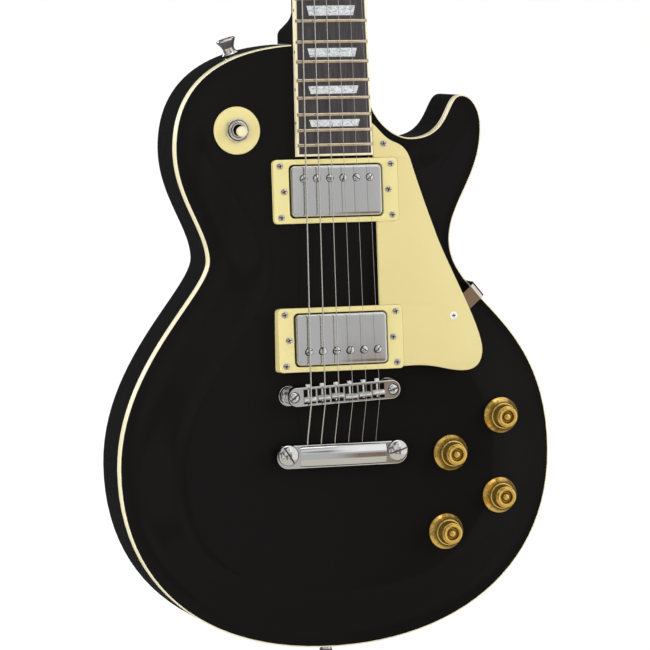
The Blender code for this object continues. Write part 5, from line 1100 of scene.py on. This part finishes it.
def make_switch():
    ring = [(16.9, 0.3), (16.9, 1.5), (16.3, 2.1), (6.4, 2.1), (6.1, 1.8), (6.1, 0.3), (16.9, 0.3)]
    ring = lathe(ring, 72, 0.3)
    piece("selector_ring", ring, SWITCH, "root", RING_CREAM, "switch_ring", 50)
    hexagon = soften([Matrix.Rotation(radians(20), 2) @ p for p in circle(9.4, 6)], 3, 6, True)
    nut = plate([hexagon, circle(7.2, 48)], 2.3, 4.3, 0.7)
    piece("selector_nut", nut, SWITCH, "root", STRAP_NICKEL, (), 40)
    mouth = [(4.1, 5.9), (4.3, 6.2), (4.75, 6.2), (4.95, 5.9), (4.95, 4.7), (5.15, 4.7), (5.35, 5.2)]
    thread = [(6.0, 5.5), (6.6, 5.2), (6.85, 4.7), (6.85, 3.6), (7.1, 3.6), (7.1, 2.4), (5.8, 2.4)]
    can = [(5.8, -12), (9, -12), (9, -37), (7.5, -37), (7.5, -13.7), (4.1, -13.7), (4.1, 5.9)]
    bushing = lathe(mouth + thread + can, 56, 0.1)
    # Painted shade on the bushing below its mouth, round the thread's top.
    shade(bushing, lambda m: 3.5 < m.z < 4.75 and hypot(m.x, m.y) > 4.8)
    piece("selector_bushing", bushing, SWITCH, "root", STRAP_NICKEL, "switch_body", 30)
    pivot = local(SWITCH, 0, 0, -SWITCH_LIFT) @ Matrix.Rotation(radians(4), 4, "X")
    rod = lathe([(0, 14), (1.3, 14), (1.3, -18.5), (0, -18.5)], 24, 0.2)
    piece("selector_lever", rod, pivot, "switch_lever", CHROME, "switch_lever")
    tip = [(3.9 * sin(a), 21.7 - 3.2 * (1 - cos(a))) for a in quarter(8)]
    tip += [(3.85, 16.8), (3.3, 14.2), (2.5, 12.2), (2.2, 11.7), (0, 11.7)]
    piece("selector_tip", lathe(tip, 40, 0.3), pivot, "switch_lever", TIP_CREAM, ())


def make_jack():
    low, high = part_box("output_jack")
    at = Matrix.Translation((TREBLE_SIDE * MM, 0, (low.z + high.z) / 2)) @ Matrix.Rotation(pi / 2, 4, "Y")
    shape = plate([rectangle(17, 17, 4, 8), circle(5.1, 40)], 0.3, 1.9)
    piece("jack_plate_metal", shape, at, "root", CHROME, "output_jack")
    sleeve = [(3.35, 3.4), (4.6, 3.4), (5.0, 3.1), (5.0, 1.2), (5.0, -23), (3.35, -23), (3.35, 3.4)]
    piece("jack_sleeve", lathe(sleeve, 40, 0.15), at, "root", NICKEL, ())
    nut = plate([soften(circle(7.4, 6), 0.5, 3, True), circle(5.05, 40)], 1.9, 3.0, 0.25, 0, 2)
    piece("jack_nut", nut, at, "root", NICKEL, ())
    places = [(x, y, 1.85, x + 2 * y) for x in (-13, 13) for y in (-13, 13)]
    screws("jack_screws", SMALL_CROSS, at, places, "root")


def make_strap_buttons():
    length = 12  # from the seat to the flat outer face, whose middle the record states
    head = [(0, 11.4), (1.6, 11.4), (2.0, 11.9), (4.6, length), (6.2, 11.9), (6.9, 11.3), (6.9, 10.5)]
    waist = [(6.1, 9.2), (5.0, 7.2), (4.2, 5.2), (4.1, 3.8), (4.8, 2.2), (6.2, 0.9), (6.3, 0.55)]
    pin = lathe(head + waist + [(1.8, 0.55), (1.8, -18), (0, -18)], 48, 0.2)
    for name in ("end", "upper"):
        mount = next(m for m in frame["record"]["mounts"] if m["name"] == f"{name}_strap_button")
        out = Vector(mount["axis"]).normalized()
        turn = out.to_track_quat("Z", "Y").to_matrix().to_4x4()
        at = Matrix.Translation(Vector(mount["pos_m"]) - out * length * MM) @ turn
        node = f"strap_button_{name}"
        piece(f"{name}_strap_pin", pin, at, "root", STRAP_NICKEL, node, 50)
        screws(f"{name}_strap_pin_screw", CROSS, at, [(0, 0, 11.2, 0.5)], "root")


# ------------------------------------------------------------ bridge and tailpiece


def make_bridge():
    outline = [p + Vector((0.6, 0)) for p in rectangle(41.9, 6.8, 6.79, 14)]
    cutter = Shape()
    spots = [string_x(n, -SCALE) / cos(SLANT) for n in range(1, 7)]
    for x in spots:
        cutter.add(box((x - 4.55, -5.2, 2.4), (x + 4.55, 5.2, 10)))
    for side in (-1, 1):
        cutter.add(lathe([(0, 9), (4.0, 9), (4.0, -1), (0, -1)], 32), shifted(side * POST_REACH))

    # Painted shade on the walls and floors of the saddle bays and the post holes.
    def sunk(m):
        bays = abs(m.y) < 5.25 and min(abs(m.x - x) for x in spots) < 4.6
        return 0.5 < m.z < 7.9 and (bays or hypot(abs(m.x) - POST_REACH, m.y) < 4.0)

    bar = shade(carved(plate([outline], 0, 8, 0.7, 0.4), cutter), sunk)
    piece("bridge_bar", bar, BRIDGE, "bridge", CHROME, "bridge_body", 30)
    screw = [(0, 1.7), (1.5, 1.7), (1.75, 1.45), (1.75, 0), (0.75, 0), (0.75, -11.5), (0, -11.5)]
    screw = carved(lathe(screw, 20, 0.1), box((-3, -0.22, 1.1), (3, 0.22, 3)))
    heads = Shape()
    for n, x in enumerate(spots):
        heads.add(screw, shifted(x, 6.8, 5.2, -pi / 2, "X") @ Matrix.Rotation(n * 0.9, 4, "Z"))
        repaint(f"saddle_{n + 1}", SADDLE_NICKEL, 0.3)
    piece("saddle_screws", heads, BRIDGE, "bridge", SADDLE_NICKEL, ())


def make_bridge_posts():
    """Each post has a slotted head, a grooved wheel and a thread."""
    neck = [(0, 8.9), (2.2, 8.8), (3.1, 8.4), (3.5, 7.9), (3.5, 6.5), (3.0, 6.2), (3.0, -0.3)]
    wheel = [(6.0, -0.3), (6.5, -0.6), (6.5, -1.1), (5.9, -1.4)]
    wheel += [(5.9, -1.7), (6.5, -2.0), (6.5, -2.5), (6.0, -2.8)]
    thread = [(4.0, -2.8)]
    for z in [-2.8 - k for k in range(27)]:
        thread += [(4.0, z - 0.3), (3.6, z - 0.65), (4.0, z - 1.0)]
    stem = lathe([*neck, *wheel, *thread, (3.6, -29.3), (0, -29.3)], 40)
    post = carved(stem, box((-6, -0.55, 7.4), (6, 0.55, 10)))
    # Painted shade on the slot's walls and floor.
    shade(post, lambda m: 7.3 < m.z < 8.5 and abs(m.y) < 0.6 and hypot(m.x, m.y) < 3.3)
    ring = [(4.4, -6.4), (4.4, -5.5), (5.6, -5.5), (5.8, -5.8)]
    ring += [(7.0, -5.8), (7.3, -6.0), (7.3, -6.4), (4.4, -6.4)]
    place_pair(post, "bridge_stud", "bridge_post", BRIDGE, POST_REACH, (0.65, 0.3))
    place_ferrules("bridge_ferrules", ring, BRIDGE, POST_REACH)


def place_pair(shape, name, node, at, reach, turns):
    """The same shape on the bass side and on the treble side, each turned its own way."""
    for side, way, turn in zip(("bass", "treble"), (-1, 1), turns):
        where, body = local(at, way * reach) @ Matrix.Rotation(turn, 4, "Z"), f"{node}_{side}"
        piece(f"{side}_{name}", shape, where, body, CHROME, body, 30, SLOT_SHADE)


def place_ferrules(name, ring, at, reach):
    """The two rings in the top that posts or studs are screwed through."""
    ferrules = Shape()
    for x in (-reach, reach):
        ferrules.add(lathe(ring, 40, 0.1), shifted(x))
    piece(name, ferrules, at, "root", CHROME, ())


def make_tailpiece():
    """A bar with round ears and a hump between them, cut open for the studs and drilled for the strings."""

    def ear(way):
        turns = [pi * (k / 14 - way / 2) for k in range(15)]
        return [Vector((way * 40.6 + 8.5 * cos(t), 8.5 * sin(t) - 1.5)) for t in turns]

    loop = [*ear(1), Vector((33.5, 6.8)), Vector((-33.5, 6.8))]
    loop += [*ear(-1), Vector((-33.5, -10)), Vector((33.5, -10))]
    bar = plate([soften(loop, 1.5, 3, True)], 0, 6.1, 0.9, 2.0)
    hump, rings = Shape(), []
    for k in range(13):
        along = k / 6 - 1
        share = (1 - 0.03 * along**2) * (0.98 if k in (0, 12) else 1)
        arc = [(8.1 * cos(pi * n / 24), 3.9 + 5.6 * sin(pi * n / 24) ** 0.85) for n in range(25)]
        ring = [(32 * along, y * share - 1.5, 3 + (z - 3) * share) for y, z in [(8.1, 3), *arc, (-8.1, 3)]]
        rings.append(hump.ring(ring))
    shape = carved(bar, hump.loft(rings), "UNION")
    openings = Shape()
    for x in (-STUD_REACH, STUD_REACH):
        openings.add(box((x - 4.2, 0, -2), (x + 4.2, 12, 12)))
        openings.add(lathe([(0, 12), (4.2, 12), (4.2, -2), (0, -2)], 32), shifted(x))
    holes = Shape()
    for n in range(1, 7):
        run = [(0, 12), (1.2, 12), (1.2, -4), (2.2, -4), (2.2, -12), (0, -12)]
        holes.add(lathe(run, 20), shifted(string_x(n, -SCALE), 0, HOLE_LEVEL, -pi / 2, "X"))
    shape = carved(carved(shape, openings), holes)
    piece("stop_bar", shape, TAIL, "tailpiece", CHROME, "tailpiece", 30)


def make_tailpiece_studs():
    head = [(7.6 * sin(a), 10.4 - 3.1 * (1 - cos(a))) for a in quarter(14)]
    head += [(7.6, 6.8), (7.3, 6.4), (3.7, 6.4), (3.7, -0.3), (6.1, -0.3), (6.1, -1.8)]
    stem = lathe(head + [(4, -1.8), (4, -28.9), (0, -28.9)], 64, 0.15)
    stud = carved(stem, box((-12, -0.6, 8.4), (12, 0.6, 12)))
    # Painted shade on the slot's walls and floor.
    shade(stud, lambda m: 8.3 < m.z < 9.9 and abs(m.y) < 0.65 and abs(m.x) < 7)
    ring = [(4.5, -4.1), (4.5, -3.9), (5.1, -3.9), (5.3, -4.0), (5.3, -4.1), (4.5, -4.1)]
    place_pair(stud, "tail_stud", "tailpiece_stud", TAIL, STUD_REACH, (-0.98, 0.29))
    place_ferrules("tailpiece_ferrules", ring, TAIL, STUD_REACH)


# ------------------------------------------------------------ strings and tuners


def post_place(n):
    at = HEAD.inverted() @ place(f"tuner_{n}_post_turn")
    return at.x / MM, at.y / MM


POSTS = {n: post_place(n) for n in range(1, 7)}
POST_RADIUS = 3.1
GAP = 0.35  # between a string and what it rests on


def rounded_path(points, radius, steps=5):
    """A line in space whose corners are eased."""
    made = [points[0]]
    for before, here, after in zip(points, points[1:], points[2:]):
        reach = min(radius, 0.45 * (here - before).length, 0.45 * (after - here).length)
        a, b = here + (before - here).normalized() * reach, here + (after - here).normalized() * reach
        made += [a.lerp(here, t).lerp(here.lerp(b, t), t) for t in [k / steps for k in range(steps + 1)]]
    return made + [points[-1]]


def string_path(n, radius, saddle):
    """A string from the tailpiece over its saddle and the nut, and twice round its post.

    The corners have six points each: 1 to 6 at the tailpiece, 7 to 12 at the saddle, 13 to 18 at the nut.
    """
    start = [TAIL @ (Vector((string_x(n, -SCALE), y, HOLE_LEVEL)) * MM) for y in (-4.0, 9.0)]
    x = string_x(n, 0)
    nut = [NECK @ (Vector((x, y, 1.0 + crown(x) + GAP + radius)) * MM) for y in (0, NUT_LENGTH)]
    px, py = POSTS[n]
    turn, first = (1, 0) if px < 0 else (-1, pi)
    wrap, drop = POST_RADIUS + GAP + radius, 2 * radius + 0.15
    coil = []
    for k in range(24 * 2 + 1):
        x, y = polar(wrap, first + turn * 2 * pi * k / 24)
        coil.append(HEAD @ (Vector((px + x, py + y, 7 + radius - drop * k / 24)) * MM))
    slid = 0.0012 - JOINTS[f"saddle_{n}_slide"]["range_m"][0]
    behind = saddle + (saddle - nut[0]).normalized() * slid
    return rounded_path([*start, behind, *nut, coil[0]], 0.003) + coil[1:]


def make_strings():
    """Each string is three lengths: from the tailpiece, from there to the saddle's crest, and on over the nut to
    its post.
    """
    to_mm = Matrix.Scale(1 / MM, 4)
    ball = [(0, 1.8), (1.6, 1.8), (1.9, 1.4), (1.4, 0), (1.9, -1.4), (1.6, -1.8), (0, -1.8)]
    ball = lathe(ball, 20, 0.15)
    for n, radius in enumerate(STRING_RADII, 1):
        x = string_x(n, -SCALE)
        low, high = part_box(f"saddle_{n}")
        middle = BRIDGE.inverted() @ ((low + high) / 2)
        saddle = BRIDGE @ (Vector((x / cos(SLANT), middle.y / MM, 11.0 + crown(x) + GAP + radius)) * MM)
        path = string_path(n, radius, saddle)
        crest, free = (path[9] + path[10]) / 2, (path[6] + path[7]) / 2
        whole = (path[13] - path[12]).length
        near = [path[12].lerp(path[13], 0.005 * k / whole) for k in range(1, 13)]
        lengths = {
            f"wire_{n}": ([crest, *path[10:13], *near, *path[13:]], "root", "bridge", near[-1], saddle),
            f"wire_{n}_behind_bridge": ([free, *path[7:10], crest], "bridge", "root", crest, free),
            f"wire_{n}_tail": ([*path[:7], free], "root", "tailpiece", free, path[6]),
        }
        paint, slot = (WOUND_STRING, "nickel") if n > 3 else (PLAIN_STRING, "steel")
        for name, (run, first, second, begin, finish) in lengths.items():
            shape = tube([to_mm @ p for p in run], radius)
            node = f"string_{n}" if name == f"wire_{n}" else ()
            wire = piece(name, shape, Matrix(), None, paint, node, 60)
            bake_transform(wire)
        ball_at = local(TAIL, x, -6.1, HOLE_LEVEL) @ Matrix.Rotation(pi / 2, 4, "Y")
        piece(f"ball_end_{n}", ball, ball_at, "tailpiece", FRET)


def gear(teeth, radius, depth, low, high):
    root = radius - depth
    tooth = ((0.0, root), (0.3, root), (0.42, radius), (0.72, radius))
    loop = [polar(r, 2 * pi * (k + share) / teeth) for k in range(teeth) for share, r in tooth]
    return plate([loop], low, high, 0.15, 0.15, 1)


GEAR_LEVEL = -19.6  # of the gears' middles, from the headstock's face
WORM_REACH = 9.4  # from a post's axis to its worm's
PLATE_X = 26  # a tuner plate's middle, across the headstock
PLATE_SCREWS = (22, 53, 95, 131)  # from the nut, in pairs


def make_tuners():
    bushings, base = Shape(), GEAR_LEVEL - 2
    for n, (x, y) in POSTS.items():
        here, node = local(HEAD, x, y), f"tuner_post_{n}"
        stem = [(0, 17), (2.5, 17), (POST_RADIUS, 16.3), (POST_RADIUS, 13.2), (2.7, 12.2), (2.7, 9.5)]
        post = lathe([*stem, (POST_RADIUS, 8.3), (POST_RADIUS, base), (0, base)], 36, 0.2)
        post.add(gear(15, 6.2, 1.0, base, base + 4))
        piece(f"post_{n}_turned", post, here, node, NICKEL, node)
        screws(f"gear_screw_{n}", SMALL_CROSS, here @ Matrix.Rotation(pi, 4, "X"), [(0, 0, -base, n)], node)
        make_tuner_button(n, 1 if x > 0 else -1, y)
        ring = [(3.5, 0), (3.5, 2.4), (4.4, 2.4), (5.0, 1.6), (5.4, 0.7), (5.6, 0), (3.5, 0)]
        bushings.add(lathe(ring, 36, 0.2), shifted(x, y))
    piece("post_bushings", bushings, HEAD, "root", NICKEL, ())
    spots = []
    for side, sign in (("bass", -1), ("treble", 1)):
        repaint(f"tuner_plate_{side}", NICKEL, 0.3)
        spots += [(sign * PLATE_X + dx, y) for y in PLATE_SCREWS for dx in (-6.4, 6.4)]
    rear = HEAD @ Matrix.Rotation(pi, 4, "Y")
    screws("tuner_plate_screws", SMALL_CROSS, rear, [(-x, y, 16.6, x + y) for x, y in spots], "root")


def make_tuner_button(n, side, y):
    """A worm on its shaft, and an oval button past the headstock's edge."""
    button, reach, teeth = head_half(y) + 5 - PLATE_X, 6.5, 7
    worm = [(2.6 if k % 2 else 1.9, reach - reach * k / teeth) for k in range(teeth * 2 + 1)]
    profile = [(0, button + 3), (1.5, button + 3), (1.5, reach), *worm, (1.5, -reach), (1.5, -9.3), (0, -9.3)]
    oval = [(8.7 * sin(pi * k / 12) ** 0.8, button + 9.5 + 7.5 * cos(pi * k / 12)) for k in range(1, 12)]
    oval = [(0, button + 17), *oval, (0, button + 2)]
    neck = [(0, button + 3.4), (3.2, button + 2.6), (2.6, button), (0, button)]
    shape = lathe(profile, 24)
    shape.add(lathe(oval, 36), Matrix.Diagonal((0.46, 1, 1, 1)))
    shape.add(lathe(neck, 24, 0.3))
    at = local(HEAD, side * PLATE_X, y - WORM_REACH, GEAR_LEVEL) @ Matrix.Rotation(side * pi / 2, 4, "Y")
    node = f"tuner_button_{n}"
    piece(f"button_{n}_oval", shape, at, node, NICKEL, node, 50)


# ------------------------------------------------------------ camera, floor and light


def make_camera():
    """The photo's view: turned to the bass side, from a little above."""
    around, lift, roll = radians(-18.09), radians(4.94), radians(-0.68)
    target, distance = Vector((-0.00909, -0.035, 0.24584)), 2.5518
    back = Vector((sin(around) * cos(lift), -cos(around) * cos(lift), sin(lift)))
    level = (-back).cross(UP).normalized()
    rise = level.cross(-back)
    right = level * cos(roll) + rise * sin(roll)
    top = rise * cos(roll) - level * sin(roll)
    data = bpy.data.cameras.new("photo_view")
    data.sensor_width, data.lens, data.clip_end = 36, 36 * 3584 / 650, 100
    camera = new_object("photo_view", data)
    turn = Matrix((right, top, back)).transposed().to_4x4()
    camera.matrix_world = Matrix.Translation(target + back * distance) @ turn
    bpy.context.scene.camera = camera


def make_lamp(name, at, target, size, power, mirrored=True):
    data = bpy.data.lights.new(name, "AREA")
    data.shape, data.size, data.size_y, data.energy = "RECTANGLE", size[0], size[1], power
    lamp = new_object(name, data)
    lamp.location = at
    lamp.rotation_mode = "QUATERNION"
    lamp.rotation_quaternion = (Vector(at) - Vector(target)).to_track_quat("Z", "Y")
    lamp.visible_camera = False
    lamp.visible_glossy = mirrored


def make_floor():
    """A wide white floor. It glows a little to the camera, so that no horizon shows against the white."""
    half, level = 40, -0.0006
    corners = [(-half, -half, 0), (half, -half, 0), (half, half, 0), (-half, half, 0)]
    mesh = bpy.data.meshes.new("floor")
    mesh.from_pydata(corners, [], [(0, 1, 2, 3)])
    floor = new_object("floor", mesh)
    floor.location.z = level
    made = bpy.data.materials.new("white_floor")
    made.use_nodes = True
    made.node_tree.nodes.clear()
    tree = Nodes(made.node_tree)
    seen = tree.node("LightPath").outputs["Is Camera Ray"]
    share = tree.node("Math", {0: seen}, operation="MULTIPLY")
    share.inputs[1].default_value = 0.82
    matt = tree.node("BsdfDiffuse", Color=(0.8, 0.8, 0.8, 1))
    glow = tree.node("Emission", Strength=1.17)
    mix = tree.node("MixShader", {"Fac": share.outputs[0], 1: matt.outputs[0], 2: glow.outputs[0]})
    tree.node("OutputMaterial", {"Surface": mix.outputs[0]})
    mesh.materials.append(made)
    floor.visible_glossy = False
    floor.visible_transmission = False


def make_world():
    """White behind the object, which mirrors a studio: light floor, softbox to the right, dark room."""
    world = bpy.data.worlds.new("studio")
    bpy.context.scene.world = world
    world.use_nodes = True
    world.node_tree.nodes.clear()
    studio = Nodes(world.node_tree)
    node = studio.node
    where = node("TexCoord").outputs["Generated"]
    way = node("SeparateXYZ", {"Vector": where}).outputs

    def step(axis, low, high):
        """From 0 at low to 1 at high along an axis."""
        ends = {"From_Min": low, "From_Max": high}
        return node("MapRange", {"Value": way[axis]}, interpolation_type="SMOOTHSTEP", **ends).outputs[0]

    def both(a, b):
        return node("Math", {0: a, 1: b}, operation="MULTIPLY").outputs[0]

    def over(share, below, colour):
        made = node("Mix", {"Factor": share, 6: below}, data_type="RGBA")
        made.inputs[7].default_value = (*colour, 1)
        return made.outputs[2]

    clutter = node("TexNoise", {"Vector": where}, Scale=3.2, Detail=0.5, Distortion=0.3)
    room = node("ValToRGB", {"Fac": clutter.outputs["Fac"]})
    bar = room.color_ramp
    bar.elements.new(0.5)
    for element, (at, level) in zip(bar.elements, [(0.40, 0.12), (0.5, 0.5), (0.60, 0.95)]):
        element.position, element.color = at, (level, level * 0.99, level * 0.96, 1)
    low_front = both(step("Z", 0.24, 0.16), step("X", 0.12, 0.2))
    edge = both(step("Z", 0.17, 0.22), step("X", 0.303, 0.313))
    softbox = step("X", 0.46, 0.5)
    table = both(both(step("X", 0.313, 0.317), step("X", 0.46, 0.44)), step("Z", 0.04, 0.01))
    floor, ceiling = step("Z", -0.40, -0.43), step("Z", 0.8, 0.95)
    behind = both(both(step("Y", -0.12, 0.12), step("Z", 0.8, 0.6)), step("Z", -0.8, -0.6))
    seen = room.outputs["Color"]
    for share, colour in (
        (low_front, (0.66, 0.66, 0.66)),
        (edge, (1.3, 1.3, 1.3)),
        (softbox, (1.1, 1.1, 1.1)),
        (table, (0.30, 0.215, 0.145)),
        (floor, (0.80, 0.76, 0.66)),
        (ceiling, (1, 1, 1)),
        (behind, (0.03, 0.03, 0.031)),
    ):
        seen = over(share, seen, colour)
    mirrored = node("Background", {"Color": seen}, Strength=1.0)
    soft = node("Background", Color=(1, 1, 1, 1), Strength=0.5)
    white = node("Background", Color=(1, 1, 1, 1), Strength=1.0)
    path = node("LightPath").outputs
    sharp = node("Math", {0: path["Is Glossy Ray"], 1: path["Is Transmission Ray"]}, operation="MAXIMUM")
    first = node("MixShader", {"Fac": sharp.outputs[0], 1: soft.outputs[0], 2: mirrored.outputs[0]})
    second = node("MixShader", {"Fac": path["Is Camera Ray"], 1: first.outputs[0], 2: white.outputs[0]})
    node("OutputWorld", {"Surface": second.outputs[0]})


make_back()
make_top()
make_binding()
make_rear_covers()
make_neck()
make_board()
make_board_binding()
make_frets()
make_inlays()
make_head_fittings()
make_pickup("neck", -0.2, 9.9, 9.0, 0)
make_pickup("bridge", 0.3, 10.3, -8.2, 0.9)
make_guard()
make_bracket()
make_knobs()
make_switch()
make_jack()
make_strap_buttons()
make_bridge()
make_bridge_posts()
make_tailpiece()
make_tailpiece_studs()
make_strings()
make_tuners()
make_camera()
make_floor()
make_world()
middle = (0, -0.03, 0.25)  # of the body
make_lamp("key", (-1.6, -2.0, 0.5), middle, (1.3, 1.3), 16, False)
make_lamp("fill", (1.9, -1.5, 0.9), middle, (1.4, 1.6), 24, False)
make_lamp("side_light", (-2.4, -0.45, 0.25), (-0.1, 0, 0.22), (0.8, 0.8), 24, False)
make_lamp("head_light", (0, -0.6, 2.6), (0, 0, 0.5), (1.6, 0.9), 6)
make_lamp("back_light", (-1.3, 2.3, 1.3), (0, 0, 0.45), (0.5, 1.5), 14)
bpy.context.scene.view_settings.view_transform = "Standard"
